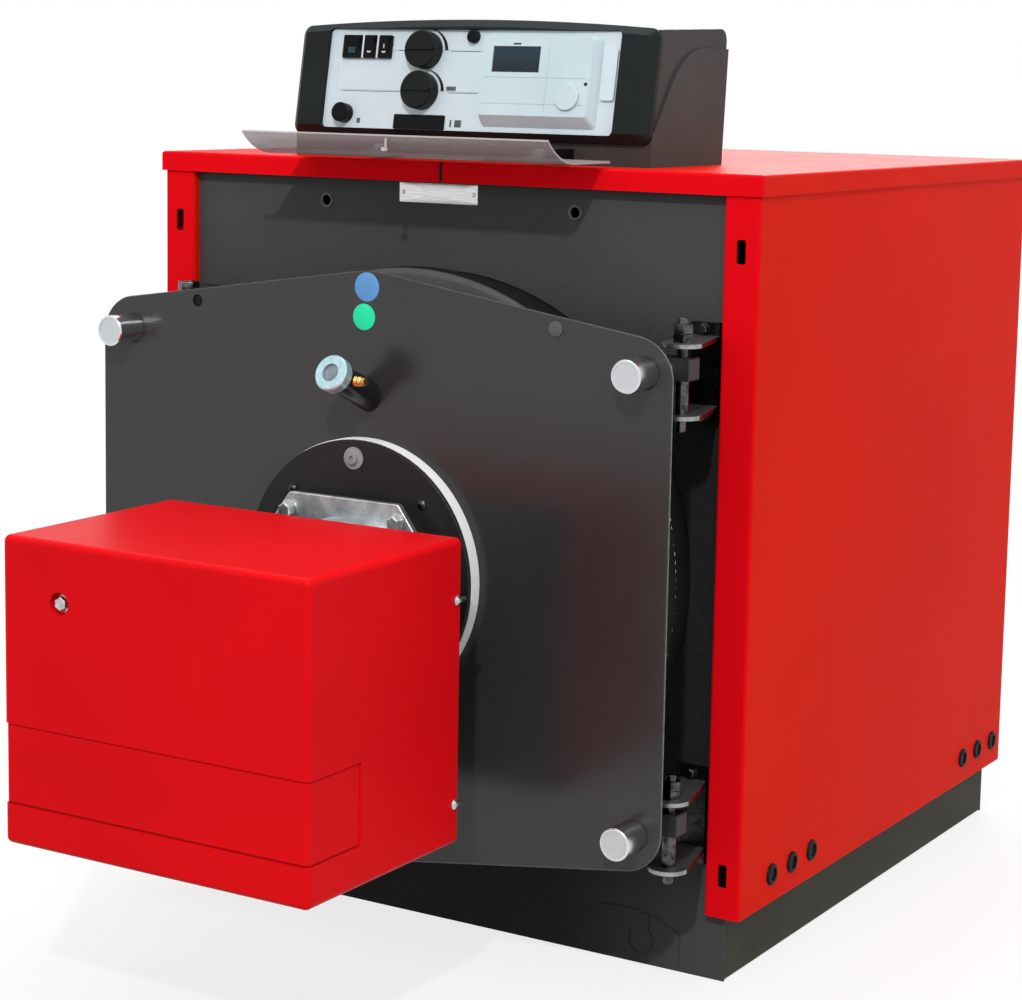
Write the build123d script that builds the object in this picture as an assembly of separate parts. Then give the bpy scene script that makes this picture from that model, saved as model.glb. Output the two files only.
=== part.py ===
from build123d import *
import os
from math import cos, pi, radians, sin, sqrt

# Floor-standing hot water boiler with a jet burner on its swing door and a control box on top.
# Millimetres, +Z up, +X to the right, the door faces -Y.
# While a piece is made, y = 0 is the front of the casing.
# put() then moves it so that the origin is in the middle of the floor area.

# Casing
case_width = 800.0
case_depth = 800.0
case_height = 890.0
sheet = 2.0
bend_radius = 3.0
panel_bottom = 76.0
flange_width = 43.0
flange_return = 12.0
rear_flange = 28.0
top_lip = 23.0
top_gap = 1.0
seam_gap = 1.5
slot_width = 11.0
slot_height = 26.0
slot_from_side = 22.0
slot_from_top = 82.0
slot_from_bottom = 48.0
front_hole_x = 168.0
front_hole_drop = 50.0
front_hole_radius = 6.0
plug_radius = 12.5
plug_hole_radius = 10.0
plug_dome = 3.0
plug_edge = 2.4
plug_dish_radius = 7.5
plug_dish_depth = 2.0
plug_z = 109.0
plug_spacing = 53.0
plug_count = 3
plug_front_y = 80.0
plug_rear_inset = 34.0

# Base, and the knock-outs in the front panel
base_inset = 22.0
rail_height = 94.0
rail_lip = 36.0
base_rear_height = 110.0
saddle_thickness = 8.0
saddle_wrap = 88.0
saddle_offset = 90.0
knock_from_side = 56.0
knock_span = 97.0
knock_foot = 7.0
knock_shoulder = 43.0
knock_crown = 61.0
key_radius = 15.0
key_height = 27.0
key_neck = 20.0
groove_width = 2.5
groove_depth = 1.0

# Boiler drum, furnace and tubes
drum_side_gap = 78.0
drum_top_gap = 124.0
drum_floor_gap = 122.0
drum_wall = 8.0
drum_start_y = 60.0
drum_rear_gap = 110.0
ring_wall = 16.0
ring_front = 28.0
plate_wall = 12.0
furnace_inset = 2.0
furnace_wall = 8.0
furnace_rear_gap = 70.0
tube_spacing = 61.0
tube_radius = 25.0
tube_wall = 4.0
tube_stand = 12.0
tube_recess = 5.0

# Rear and top connections
flue_radius = 100.0
flue_wall = 3.0
flue_stub = 110.0
flue_collar = 12.0
flue_collar_length = 8.0
smoke_box_gap = 3.0
pipe_radius = 30.0
pipe_bore = 27.0
pipe_flange_radius = 82.5
pipe_flange_thick = 18.0
pipe_bolt_diameter = 125.0
pipe_bolt_radius = 9.0
pipe_bolt_count = 4
pipe_top = 66.0
pipe_bore_depth = 90.0
pipe_forward = 62.0
pipe_spacing = 174.0
drain_radius = 19.0
drain_thread = 16.6
drain_rim = 1.0
drain_stub = 34.0

# Door
hinge_inset = 50.0
latch_inset = 95.0
arm_inset = 77.0
disc_over = 8.0
disc_thick = 26.0
disc_round = 8.0
seal_width = 11.0
seal_gap = 0.4
seal_depth = 7.6
insulation_gap = 30.0
insulation_depth = 54.0
insulation_chamfer = 12.0
bar_size = 24.0
bar_end = 15.0
bar_edge = 1.5
pin_radius = 6.0
run_gap = 0.3
lug_radius = 22.0
lug_thick = 5.0
lug_above = 22.5
lug_below = 48.0
lug_root_width = 34.0
bracket_thick = 8.0
bracket_margin = 14.0
nut_width = 20.0
nut_height = 9.0
nut_gap = 1.0
pin_tip = 7.0
pin_tail = 14.0
sleeve_radius = 8.0
latch_slack = 2.0
nut_slack = 0.6

# Cover plate on the door
cover_stand = 78.0
cover_thick = 3.0
cover_inset = 25.0
cover_over = 10.0
cover_gable = 55.0
cover_corner = 46.0
cover_apex_round = 150.0
cover_edge = 0.8
cover_hole_inset = 138.0
cover_hole_rise = 7.0
cover_hole_radius = 7.0
knob_inset = 36.0
knob_radius = 17.5
knob_length = 22.0
knob_face = 13.0
knob_neck = 1.5
knob_edge = 1.5
stud_radius = 6.0

# Burner
neck_radius = 120.0
neck_bore = 72.0
gasket_thick = 15.0
burner_plate_radius = 147.0
burner_plate_thick = 5.0
burner_plate_edge = 0.8
gasket_proud = 1.0
mount_half_width = 97.0
mount_half_height = 87.0
mount_cut_width = 25.0
mount_cut_height = 34.0
mount_corner = 6.0
mount_edge = 1.5
mount_thick = 7.0
spacer_thick = 19.0
spacer_inset = 2.0
blast_radius = 62.0
blast_wall = 3.0
blast_reach = 110.0
head_setback = 20.0
head_thick = 4.0
head_hole = 16.0
head_slots = 8
head_slot_width = 5.0
fit_gap = 0.3
body_neck_radius = 66.0
hood_gap = 63.0
hood_half_width = 193.0
hood_drop = 250.0
hood_rise = 74.0
hood_length = 263.0
hood_wall = 3.0
hood_round = 7.0
hood_back_inset = 6.0
back_plate_thick = 6.0
band_up = 43.0
band_height = 85.0
band_depth = 1.5
band_wrap = 88.0
band_groove = 2.0
band_groove_depth = 2.3
bolt_well_inset = 76.0
bolt_well_drop = 63.0
bolt_well_radius = 12.0
bolt_well_depth = 8.0

# Sight glass on the cover plate
sight_gap = 48.0
sight_tilt = 24.0
sight_length = 78.0
sight_radius = 15.0
sight_foot = 17.0
sight_ring_radius = 20.0
sight_ring_length = 14.0
sight_glass_radius = 10.0
sight_recess = 3.0
nipple_radius = 5.0
nipple_length = 30.0
nipple_along = 52.0

# Control box
control_x = -6.0
bezel_y = 44.0
bezel_rise = 27.0
panel_lean = 10.0
bezel_frame = 43.5
bezel_height = 129.0
bezel_bow = 9.0
bezel_depth = 16.0
bezel_round = 12.0
bezel_wing = 10.0
housing_depth_top = 200.0
housing_depth_foot = 188.0
housing_rise = 156.0
housing_round = 14.0
cheek = 3.0
sweep_rear_drop = 23.0
sweep_flat = 55.0
sweep_foot_gap = 12.0
fascia_width = 396.0
fascia_low = 8.0
fascia_high = 125.0
fascia_thick = 3.0
fascia_sink = 6.0
line_width = 1.0
line_depth = 0.6
line_from_edge = 15.0
line_rise = 28.0
knob_shaft = 4.0
dial_knob_radius = 22.0
dial_knob_height = 15.0
dial_knob_from_edge = 137.0
dial_knob_upper = 100.5
dial_knob_lower = 53.0
dial_grip = 3.0
dial_grip_inset = 3.0
grip_rise = 2.5
turn_gap = 0.5
module_from_knob = 85.0
module_from_edge = 24.0
module_v = 66.0
module_height = 104.0
module_rise = 13.0
module_round = 5.0
module_edge = 1.0
module_side_bevel = 7.0
module_foot_bevel = 12.0
screen_from_side = 45.0
screen_v = 90.0
screen_width = 62.0
screen_height = 29.0
screen_thick = 1.5
module_dial_from_side = 33.0
module_dial_v = 48.0
module_dial_radius = 15.0
module_dial_height = 3.0
module_line_x = 62.0
module_line_upper = 69.0
module_line_lower = 39.0
switch_from_edge = 34.0
switch_wide = 27.0
switch_narrow = 18.0
switch_gap = 2.75
switch_v = 104.0
switch_height = 27.0
switch_rise = 4.0
switch_rock = 3.0
switch_edge = 1.0
button_from_edge = 31.0
button_v = 25.0
button_radius = 11.5
button_height = 13.0
cap_from_knob = 64.0
cap_v = 117.0
cap_radius = 7.5
cap_height = 7.0
window_v = 17.0
window_width = 70.0
window_height = 17.0
window_thick = 2.0
clip_from_edge = 12.0
clip_v = 76.0
clip_width = 17.0
clip_height = 58.0
clip_rise = 4.0

# Smoked flap in front of the control box
flap_x = 12.0
flap_y = 18.0
flap_rise = 12.0
flap_over = 2.0
flap_drop = 5.0
flap_start = 9.0
flap_flat = 78.0
flap_curl_radius = 75.0
flap_curl_angle = 48.0
flap_thick = 2.5
flap_pin_radius = 3.0
flap_eye_radius = 6.0
flap_eye_width = 16.0
flap_arm_x = 120.0
flap_arm_width = 10.0
flap_arm_gap = 1.0

# Worked-out places
half_width = case_width / 2
base_half = half_width - base_inset
panel_y = flange_return
panel_back_y = panel_y + sheet
drum_radius = min(half_width - drum_side_gap, (case_height - drum_top_gap - drum_floor_gap) / 2)
drum_z = drum_floor_gap + drum_radius
drum_end_y = case_depth - drum_rear_gap
furnace_radius = (drum_radius - furnace_inset) / 2
tube_circle = (furnace_radius + furnace_wall + drum_radius - ring_wall) / 2
tube_count = int(2 * pi * tube_circle / tube_spacing)
drain_drop = drum_radius - drain_radius - drain_rim
smoke_box_radius = drain_drop - drain_radius - smoke_box_gap
flow_y = case_depth / 2 - pipe_forward
return_y = flow_y + pipe_spacing
ring_y = -ring_front
disc_radius = drum_radius + disc_over
disc_back_y = ring_y - seal_depth - seal_gap
disc_front_y = disc_back_y - disc_thick
bar_front_y = disc_front_y - bar_size
hinge_x = half_width - hinge_inset
latch_x = half_width - latch_inset
pin_y = disc_front_y - bar_size / 2
arm_offset = drum_radius - arm_inset
arm_heights = (drum_z + arm_offset, drum_z - arm_offset)
cover_back_y = disc_front_y - cover_stand
cover_front_y = cover_back_y - cover_thick
cover_half_width = half_width - cover_inset
cover_apex = drum_radius + cover_over
cover_side = cover_apex - cover_gable
knob_x = cover_half_width - knob_inset
gasket_front_y = cover_front_y - gasket_thick
burner_front_y = gasket_front_y - burner_plate_thick
spacer_front_y = burner_front_y - spacer_thick
mount_front_y = spacer_front_y - mount_thick
hood_back_y = mount_front_y - hood_gap
hood_front_y = hood_back_y - hood_length
hood_bottom = drum_z - hood_drop
hood_top = drum_z + hood_rise
reach_front = -hood_front_y
reach_back = case_depth + flue_stub
y_shift = (reach_front - reach_back) / 2
lean = radians(panel_lean)
panel_plane = Plane(
    origin=(control_x, bezel_y, case_height + bezel_rise),
    x_dir=(1, 0, 0),
    z_dir=(0, -cos(lean), sin(lean)),
)
bezel_width = fascia_width + 2 * bezel_frame
fascia_left = -fascia_width / 2
fascia_right = fascia_width / 2
fascia_front = -fascia_sink
fascia_back = fascia_front - fascia_thick
dial_knob_x = fascia_left + dial_knob_from_edge
module_left = dial_knob_x + module_from_knob
module_right = fascia_right - module_from_edge
module_low = module_v - module_height / 2
module_high = module_v + module_height / 2
module_front = fascia_front + module_rise
screen_x = module_left + screen_from_side
module_dial_x = module_right - module_dial_from_side
flap_z = case_height + flap_rise
flap_half_width = fascia_width / 2 + flap_over


def put(name, *solids):
    """Moves the solids to the shared origin and writes them as one node."""
    moved = [Pos(0, y_shift, 0) * solid for solid in solids]
    whole = moved[0] if len(moved) == 1 else Compound(children=moved)
    export_step(whole, f"parts/{name}.step")


def block(x0, x1, y0, y1, z0, z1):
    centre = Pos((x0 + x1) / 2, (y0 + y1) / 2, (z0 + z1) / 2)
    return centre * Box(x1 - x0, y1 - y0, z1 - z0)


def rod_x(y, z, radius, x0, x1):
    return extrude(Plane((x0, y, z), x_dir=(0, 1, 0), z_dir=(1, 0, 0)) * Circle(radius), x1 - x0)


def rod_y(x, z, radius, y0, y1):
    return extrude(Plane((x, y0, z), x_dir=(1, 0, 0), z_dir=(0, 1, 0)) * Circle(radius), y1 - y0)


def rod_z(x, y, radius, z0, z1):
    return extrude(Pos(x, y, z0) * Circle(radius), z1 - z0)


def ring_along_y(outer, inner, y0, y1):
    return rod_y(0, drum_z, outer, y0, y1) - rod_y(0, drum_z, inner, y0 - 1, y1 + 1)


def front_plane(y):
    """Sketch plane that faces the viewer: local x is right, local y is up."""
    return Plane((0, y, 0), x_dir=(1, 0, 0), z_dir=(0, -1, 0))


def flip_x(shape):
    return mirror(shape, about=Plane.YZ)


def on_panel(x, v, sketch, low, high):
    """Solid on the leaning fascia, between two heights above the bezel's front plane."""
    return panel_plane * (Pos(x, v, low) * extrude(sketch, high - low))


# Casing


def plug_places():
    """Distances from the casing front of the cable plugs along one side."""
    front = [plug_front_y + i * plug_spacing for i in range(plug_count)]
    rear = [case_depth - plug_rear_inset - i * plug_spacing for i in range(plug_count)]
    return front + rear


def side_panel():
    """Right side panel: bent sheet with a front flange, its return, and a rear flange."""
    mid = sheet / 2
    inner = half_width - flange_width + mid
    outer = half_width - mid
    path = FilletPolyline(
        (inner, flange_return),
        (inner, mid),
        (outer, mid),
        (outer, case_depth - mid),
        (half_width - rear_flange, case_depth - mid),
        radius=bend_radius,
    )
    panel_top = case_height - sheet
    panel = Pos(0, 0, panel_bottom) * extrude(trace(path, sheet), panel_top - panel_bottom)
    for z in (case_height - slot_from_top, panel_bottom + slot_from_bottom):
        slot = RectangleRounded(slot_width, slot_height, slot_width / 4)
        place = front_plane(2 * sheet) * Pos(half_width - slot_from_side, z)
        panel -= extrude(place * slot, 3 * sheet)
    for y in plug_places():
        panel -= rod_x(y, plug_z, plug_hole_radius, half_width - 2 * sheet, half_width + sheet)
    return panel


def side_plug(y):
    """Dished cable plug snapped into the right side panel."""
    collar = rod_x(y, plug_z, plug_hole_radius - fit_gap, half_width - 3 * sheet, half_width)
    head = rod_x(y, plug_z, plug_radius, half_width, half_width + plug_dome)
    rim = head.faces().sort_by(Axis.X)[-1].edges()
    dish_x = half_width + plug_dome - plug_dish_depth
    dish = rod_x(y, plug_z, plug_dish_radius, dish_x, half_width + plug_dome + 1)
    return collar + fillet(rim, plug_edge) - dish


def top_panel():
    """Right top panel: shallow pan with a lip on its three outer edges."""
    x0 = seam_gap / 2
    x1 = half_width + top_gap + sheet
    y0 = -top_gap - sheet
    y1 = case_depth + top_gap + sheet
    low = case_height - top_lip
    pan = block(x0, x1, y0, y1, low, case_height)
    rim = pan.faces().sort_by(Axis.Z)[-1].edges().filter_by(lambda e: e.center().X > x0 + 1)
    pan = fillet(rim, bend_radius)
    pan -= block(x0 - 1, x1 - sheet, y0 + sheet, y1 - sheet, low - 1, case_height - sheet)
    for y in (flow_y, return_y):
        pan -= rod_z(0, y, pipe_radius + top_gap, low, case_height + 1)
    return pan


def knock_out():
    """Groove lines low on the front panel: an arch and, below it, a keyhole."""
    outer = base_half - knock_from_side
    inner = outer - knock_span
    crown = (inner + outer) / 2
    arch = ThreePointArc((outer, knock_shoulder), (crown, knock_crown), (inner, knock_crown))
    upright = Line((outer, knock_foot), (outer, knock_shoulder))
    neck = key_neck / 2
    eye_top = key_height + sqrt(key_radius**2 - neck**2)
    bowl = ThreePointArc(
        (crown - neck, eye_top), (crown, key_height - key_radius), (crown + neck, eye_top)
    )
    stem = Line((crown + neck, eye_top), (crown + neck, knock_crown - groove_width))
    return trace(arch, groove_width) + trace(upright, groove_width) + trace(bowl + stem, groove_width)


def front_panel():
    """Dark sheet behind the front flanges and down to the floor, cut out round the door frame ring."""
    inner = half_width - flange_width + flange_return
    panel = block(-inner, inner, panel_y, panel_back_y, 0, case_height - 2 * sheet)
    panel += block(-base_half, base_half, panel_y, panel_back_y, 0, panel_bottom - sheet)
    lines = extrude(front_plane(panel_y + groove_depth) * knock_out(), 2 * groove_depth)
    panel -= lines
    panel -= flip_x(lines)
    for x in (-front_hole_x, front_hole_x):
        panel -= rod_y(x, case_height - front_hole_drop, front_hole_radius, 0, panel_back_y + 1)
    return panel - rod_y(0, drum_z, drum_radius + top_gap, 0, panel_back_y + 1)


def rear_panel():
    """Rear sheet inside the rear flanges, cut out for the flue and the drain."""
    inner = half_width - 3 * sheet
    y1 = case_depth - sheet
    panel = block(-inner, inner, y1 - sheet, y1, panel_bottom, case_height - 2 * sheet)
    panel -= rod_y(0, drum_z, flue_radius + top_gap, y1 - 2 * sheet, y1 + 1)
    panel -= rod_y(0, drum_z - drain_drop, drain_radius + top_gap, y1 - 2 * sheet, y1 + 1)
    return panel


# Base


def base_rail():
    """Right rail: bent section with a foot lip and a shelf that carries the side panel."""
    mid = sheet / 2
    web = base_half - mid
    path = FilletPolyline(
        (web - rail_lip, mid),
        (web, mid),
        (web, rail_height - mid),
        (half_width - sheet, rail_height - mid),
        radius=bend_radius,
    )
    y0 = panel_back_y
    y1 = case_depth - 3 * sheet
    plane = Plane((0, y1, 0), x_dir=(1, 0, 0), z_dir=(0, -1, 0))
    return extrude(plane * trace(path, sheet), y1 - y0)


def base_rear():
    y1 = case_depth - 2 * sheet
    return block(-base_half, base_half, y1 - sheet, y1, 0, base_rear_height)


def drum_saddle(y):
    """Cross plate between the rails, hollowed to take the drum."""
    inner = base_half - sheet
    low = sheet + bend_radius
    plate = block(-inner, inner, y, y + saddle_thickness, low, drum_floor_gap + saddle_wrap)
    return plate - rod_y(0, drum_z, drum_radius, y - 1, y + saddle_thickness + 1)


# Boiler


def boiler_drum():
    return ring_along_y(drum_radius, drum_radius - drum_wall, drum_start_y, drum_end_y)


def drum_rear_plate():
    """Rear end of the drum with the smoke box that carries the flue and the drain."""
    y1 = case_depth - 3 * sheet - flue_collar
    end = rod_y(0, drum_z, drum_radius, drum_end_y, drum_end_y + plate_wall)
    return end + rod_y(0, drum_z, smoke_box_radius, drum_end_y + plate_wall, y1)


def door_frame_ring():
    return ring_along_y(drum_radius, drum_radius - ring_wall, ring_y, drum_start_y)


def tube_plate():
    hole = furnace_radius + furnace_wall
    outer = drum_radius - drum_wall - fit_gap
    return ring_along_y(outer, hole, drum_start_y, drum_start_y + plate_wall)


def furnace_tube():
    """Furnace: a tube with a closed rear end, its mouth flush with the tube plate."""
    outer = furnace_radius + furnace_wall - fit_gap
    end_y = drum_end_y - furnace_rear_gap
    tube = rod_y(0, drum_z, outer, drum_start_y, end_y)
    return tube - rod_y(0, drum_z, furnace_radius, drum_start_y - 1, end_y - furnace_wall)


def smoke_tube_ends():
    """Rolled-in tube ends round the furnace, each closed by its turbulator plate."""
    front = drum_start_y - tube_stand
    end = rod_y(tube_circle, drum_z, tube_radius, front, drum_start_y)
    end -= rod_y(tube_circle, drum_z, tube_radius - tube_wall, front - 1, front + tube_recess)
    centre = Axis((0, 0, drum_z), (0, 1, 0))
    return [end.rotate(centre, (i + 0.5) * 360 / tube_count) for i in range(tube_count)]


def flue_outlet():
    """Round flue stub with a stiffening collar, standing on the smoke box."""
    y0 = case_depth - 3 * sheet - flue_collar
    y1 = reach_back
    stub = rod_y(0, drum_z, flue_radius, y0, y1)
    stub -= rod_y(0, drum_z, flue_radius - flue_wall, y0 + flue_wall, y1 + 1)
    collar_y = case_depth + flue_collar_length
    collar = rod_y(0, drum_z, flue_radius + flue_collar, case_depth, collar_y)
    return stub + (collar - rod_y(0, drum_z, flue_radius - flue_wall, case_depth - 1, collar_y + 1))


def top_connection(y):
    """Flanged pipe stub that stands on the drum and leaves through the seam of the top panels."""
    top = case_height + pipe_top
    foot = drum_z + sqrt(drum_radius**2 - pipe_radius**2) - 1
    stub = rod_z(0, y, pipe_radius, foot, top)
    stub += rod_z(0, y, pipe_flange_radius, top - pipe_flange_thick, top)
    stub -= rod_z(0, y, pipe_bore, top - pipe_bore_depth, top + 1)
    for place in PolarLocations(pipe_bolt_diameter / 2, pipe_bolt_count, start_angle=45):
        bolt = place.position
        stub -= rod_z(bolt.X, y + bolt.Y, pipe_bolt_radius, top - 2 * pipe_flange_thick, top + 1)
    return stub - rod_y(0, drum_z, drum_radius, y - 2 * pipe_radius, y + 2 * pipe_radius)


def drain_connection():
    """Drain pipe from the drum end, with a threaded tail behind the casing."""
    y0 = drum_end_y + plate_wall
    z = drum_z - drain_drop
    pipe = rod_y(0, z, drain_radius, y0, case_depth)
    return pipe + rod_y(0, z, drain_thread, case_depth, case_depth + drain_stub)


# Door hinges and latches


def lug_outline(pin_x):
    """Plan of a right-hand lug: a root on the bracket plate and a round end about the pin."""
    root_x = half_width - flange_width - 2 * sheet - lug_root_width / 2
    root = Pos(root_x, panel_y - bracket_thick - sheet) * Rectangle(lug_root_width, 2 * sheet)
    end = Pos(pin_x, pin_y) * Circle(lug_radius)
    return make_hull((root + end).edges())


def bracket(pin_x, z, cut):
    """Plate on the front panel with two lugs about the bar; cut is taken out of both lugs."""
    x1 = half_width - flange_width - 2 * sheet
    low = z - lug_below - lug_thick
    high = z + lug_above
    foot = low - bracket_margin
    head = high + lug_thick + bracket_margin
    plate = block(x1 - lug_root_width, x1, panel_y - bracket_thick, panel_y, foot, head)
    lugs = lug_outline(pin_x)
    for lug_z in (low, high):
        plate += Pos(0, 0, lug_z) * extrude(lugs, lug_thick)
    return plate - cut


def pin_space(pin_x, z, radius):
    """Room for a pin of the given radius through both lugs."""
    return rod_z(pin_x, pin_y, radius, z - 2 * lug_below, z + 2 * lug_below)


def hinge_bracket(z):
    return bracket(hinge_x, z, pin_space(hinge_x, z, pin_radius + run_gap))


def latch_bracket(z):
    """Left-hand bracket: its lugs are open towards the front so that the latch bolt swings out."""
    radius = pin_radius + latch_slack
    front = pin_y - 2 * lug_radius
    low, high = z - 2 * lug_below, z + 2 * lug_below
    slot = block(latch_x - radius, latch_x + radius, front, pin_y, low, high)
    return flip_x(bracket(latch_x, z, pin_space(latch_x, z, radius) + slot))


def threaded_pin(pin_x, z, slack):
    """Vertical bolt through a pair of lugs with a double nut on top and a sleeve under the bar."""
    top = z + lug_above + lug_thick + slack
    low = z - lug_below
    end = low - lug_thick - pin_tail
    tip = top + 2 * nut_height + nut_gap + pin_tip
    pin = rod_z(pin_x, pin_y, pin_radius, end, tip)
    pin = chamfer(pin.edges().filter_by(GeomType.CIRCLE), pin_radius / 6)
    nut = extrude(RegularPolygon(nut_width / 2, 6, major_radius=False), nut_height)
    for nut_z in (top, top + nut_height + nut_gap):
        pin += Pos(pin_x, pin_y, nut_z) * nut
    return pin + rod_z(pin_x, pin_y, sleeve_radius, low + slack, z - bar_size / 2 - nut_slack)


# Door


def door_disc():
    disc = rod_y(0, drum_z, disc_radius, disc_front_y, disc_back_y)
    rim = disc.faces().sort_by(Axis.Y)[0].edges()
    disc = fillet(rim, disc_round)
    return disc - rod_y(0, drum_z, neck_bore, disc_front_y - 1, disc_back_y + 1)


def door_seal():
    inner = drum_radius - (ring_wall + seal_width) / 2
    return ring_along_y(inner + seal_width, inner, disc_back_y, disc_back_y + seal_depth)


def door_insulation():
    """Cast refractory block on the inner side of the door, with a passage for the blast tube."""
    block_end = disc_back_y + insulation_depth
    body = rod_y(0, drum_z, drum_radius - insulation_gap, disc_back_y, block_end)
    rim = body.faces().sort_by(Axis.Y)[-1].edges()
    body = chamfer(rim, insulation_chamfer)
    return body - rod_y(0, drum_z, neck_bore, disc_back_y - 1, block_end + 1)


def cross_bar(z):
    """Square bar welded across the disc, bored at both ends for the pins."""
    half = bar_size / 2
    left, right = -latch_x - bar_end, hinge_x + bar_end
    bar = block(left, right, bar_front_y, disc_front_y, z - half, z + half)
    bar = chamfer(bar.edges().filter_by(lambda e: abs(e.center().X) > latch_x), bar_edge)
    for x in (-latch_x, hinge_x):
        bar -= rod_z(x, pin_y, pin_radius + run_gap, z - bar_size, z + bar_size)
    return bar


def cover_outline():
    """Plate outline with a gabled top and bottom and rounded corners."""
    w, side, apex = cover_half_width, cover_side, cover_apex
    points = [(-w, -side), (0, -apex), (w, -side), (w, side), (0, apex), (-w, side)]
    face = make_face(Polyline(*points, close=True))
    corners = face.vertices()
    face = fillet(corners.filter_by(lambda p: abs(p.X) > 1), cover_corner)
    return fillet(face.vertices().filter_by(lambda p: abs(p.X) < 1), cover_apex_round)


def door_cover():
    plate = extrude(front_plane(cover_back_y) * Pos(0, drum_z) * cover_outline(), cover_thick)
    plate = chamfer(plate.faces().sort_by(Axis.Y)[0].edges(), cover_edge)
    plate -= rod_y(0, drum_z, neck_radius + fit_gap, cover_front_y - 1, cover_back_y + 1)
    hole_x = cover_half_width - cover_hole_inset
    for x in (-hole_x, hole_x):
        hole_z = drum_z + cover_side + cover_hole_rise
        plate -= rod_y(x, hole_z, cover_hole_radius, cover_front_y - 1, cover_back_y + 1)
    for z in arm_heights:
        for x in (-knob_x, knob_x):
            plate -= rod_y(x, z, stud_radius + fit_gap, cover_front_y - 1, cover_back_y + 1)
    return plate


def cover_knob(x, z):
    """Turned knob with the stud that stands on the cross bar."""
    stud = rod_y(x, z, stud_radius, cover_front_y, bar_front_y)
    face_y = cover_front_y - knob_length
    head = rod_y(x, z, knob_radius, face_y, face_y + knob_face)
    head = chamfer(head.faces().sort_by(Axis.Y)[0].edges(), knob_edge)
    head += rod_y(x, z, knob_radius - knob_neck, face_y + knob_face, cover_front_y)
    spacer = rod_y(x, z, 2 * stud_radius, cover_back_y, cover_back_y + cover_stand / 4)
    return stud + head + spacer


# Burner


def burner_neck():
    return ring_along_y(neck_radius, neck_bore, cover_front_y, disc_front_y)


def burner_gasket():
    outer = burner_plate_radius + gasket_proud
    return ring_along_y(outer, neck_bore, gasket_front_y, cover_front_y)


def mount_outline(inset):
    """Outline of the burner's flange, a rectangle with cut corners, drawn in by an inset."""
    x1 = mount_half_width - inset
    z1 = mount_half_height - inset
    x0 = x1 - mount_cut_width
    z0 = z1 - mount_cut_height
    upper = [(x1, z0), (x0, z1), (-x0, z1), (-x1, z0)]
    lower = [(-x, -z) for x, z in upper]
    outline = make_face(Polyline(*upper, *lower, close=True))
    return Pos(0, drum_z) * fillet(outline.vertices(), mount_corner)


def burner_plate():
    """Round plate with the raised pad that the burner's flange is clamped to."""
    plate = rod_y(0, drum_z, burner_plate_radius, burner_front_y, gasket_front_y)
    rim = plate.faces().sort_by(Axis.Y)[0].edges()
    plate = chamfer(rim, burner_plate_edge)
    plate += extrude(front_plane(burner_front_y) * mount_outline(spacer_inset), spacer_thick)
    return plate - rod_y(0, drum_z, blast_radius + fit_gap, spacer_front_y - 1, gasket_front_y + 1)


def burner_flange():
    """Cast flange with cut corners that clamps the burner to its plate."""
    flange = extrude(front_plane(spacer_front_y) * mount_outline(0), mount_thick)
    flange = fillet(flange.faces().sort_by(Axis.Y)[0].edges(), mount_edge)
    return flange - rod_y(0, drum_z, blast_radius + fit_gap, mount_front_y - 1, spacer_front_y + 1)


def blast_tube():
    """Flame tube with a slotted diffuser plate set back in its mouth."""
    end_y = blast_reach
    tube = rod_y(0, drum_z, blast_radius, mount_front_y, end_y)
    tube -= rod_y(0, drum_z, blast_radius - blast_wall, mount_front_y - 1, end_y + 1)
    head_y = end_y - head_setback
    head = rod_y(0, drum_z, blast_radius - blast_wall / 2, head_y - head_thick, head_y)
    head -= rod_y(0, drum_z, head_hole, head_y - head_thick - 1, head_y + 1)
    half = head_slot_width / 2
    outer = blast_radius - 4 * blast_wall
    slot = block(2 * head_hole, outer, head_y - head_thick - 1, head_y + 1, drum_z - half, drum_z + half)
    centre = Axis((0, 0, drum_z), (0, 1, 0))
    for i in range(head_slots):
        head -= slot.rotate(centre, i * 360 / head_slots)
    return tube + head


def burner_body():
    """Cast neck and back plate of the burner, inside the open rear of the hood."""
    inner = hood_half_width - hood_wall - fit_gap
    y1 = hood_back_y - hood_back_inset
    y0 = y1 - back_plate_thick
    low = hood_bottom + hood_wall + fit_gap
    high = hood_top - hood_wall - fit_gap
    plate = block(-inner, inner, y0, y1, low, high)
    plate = fillet(plate.edges().filter_by(Axis.Y), hood_round - hood_wall)
    return plate + rod_y(0, drum_z, body_neck_radius, y1, mount_front_y)


def hood_form(inset):
    """Rounded box of the hood, drawn in by an inset on all sides but the rear."""
    half = hood_half_width - inset
    y0 = hood_front_y + inset
    form = block(-half, half, y0, hood_back_y, hood_bottom + inset, hood_top - inset)
    edges = form.edges().filter_by(lambda e: e.center().Y < hood_back_y - 1)
    return fillet(edges, hood_round - inset)


def burner_hood():
    """Red cover, open at the rear, with a sunk band round its lower front and a well for its bolt."""
    y1 = hood_front_y + band_wrap
    low = hood_bottom + band_up
    high = low + band_height
    far = case_width
    band = block(-far, far, hood_front_y - 1, y1, low, high)
    gap = block(-far, far, hood_front_y - 1, y1, high - band_groove, high)
    gap += block(-far, far, y1 - band_groove, y1, low, high)
    hood = hood_form(0) - (band - hood_form(band_depth))
    hood -= gap - hood_form(band_groove_depth)
    hood -= hood_form(hood_wall)
    well_x = bolt_well_inset - hood_half_width
    well_z = hood_top - bolt_well_drop
    floor_y = hood_front_y + bolt_well_depth
    cup_radius = bolt_well_radius + hood_wall
    hood += rod_y(well_x, well_z, cup_radius, hood_front_y + hood_wall / 2, floor_y + hood_wall)
    return hood - rod_y(well_x, well_z, bolt_well_radius, hood_front_y - 1, floor_y)


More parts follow.
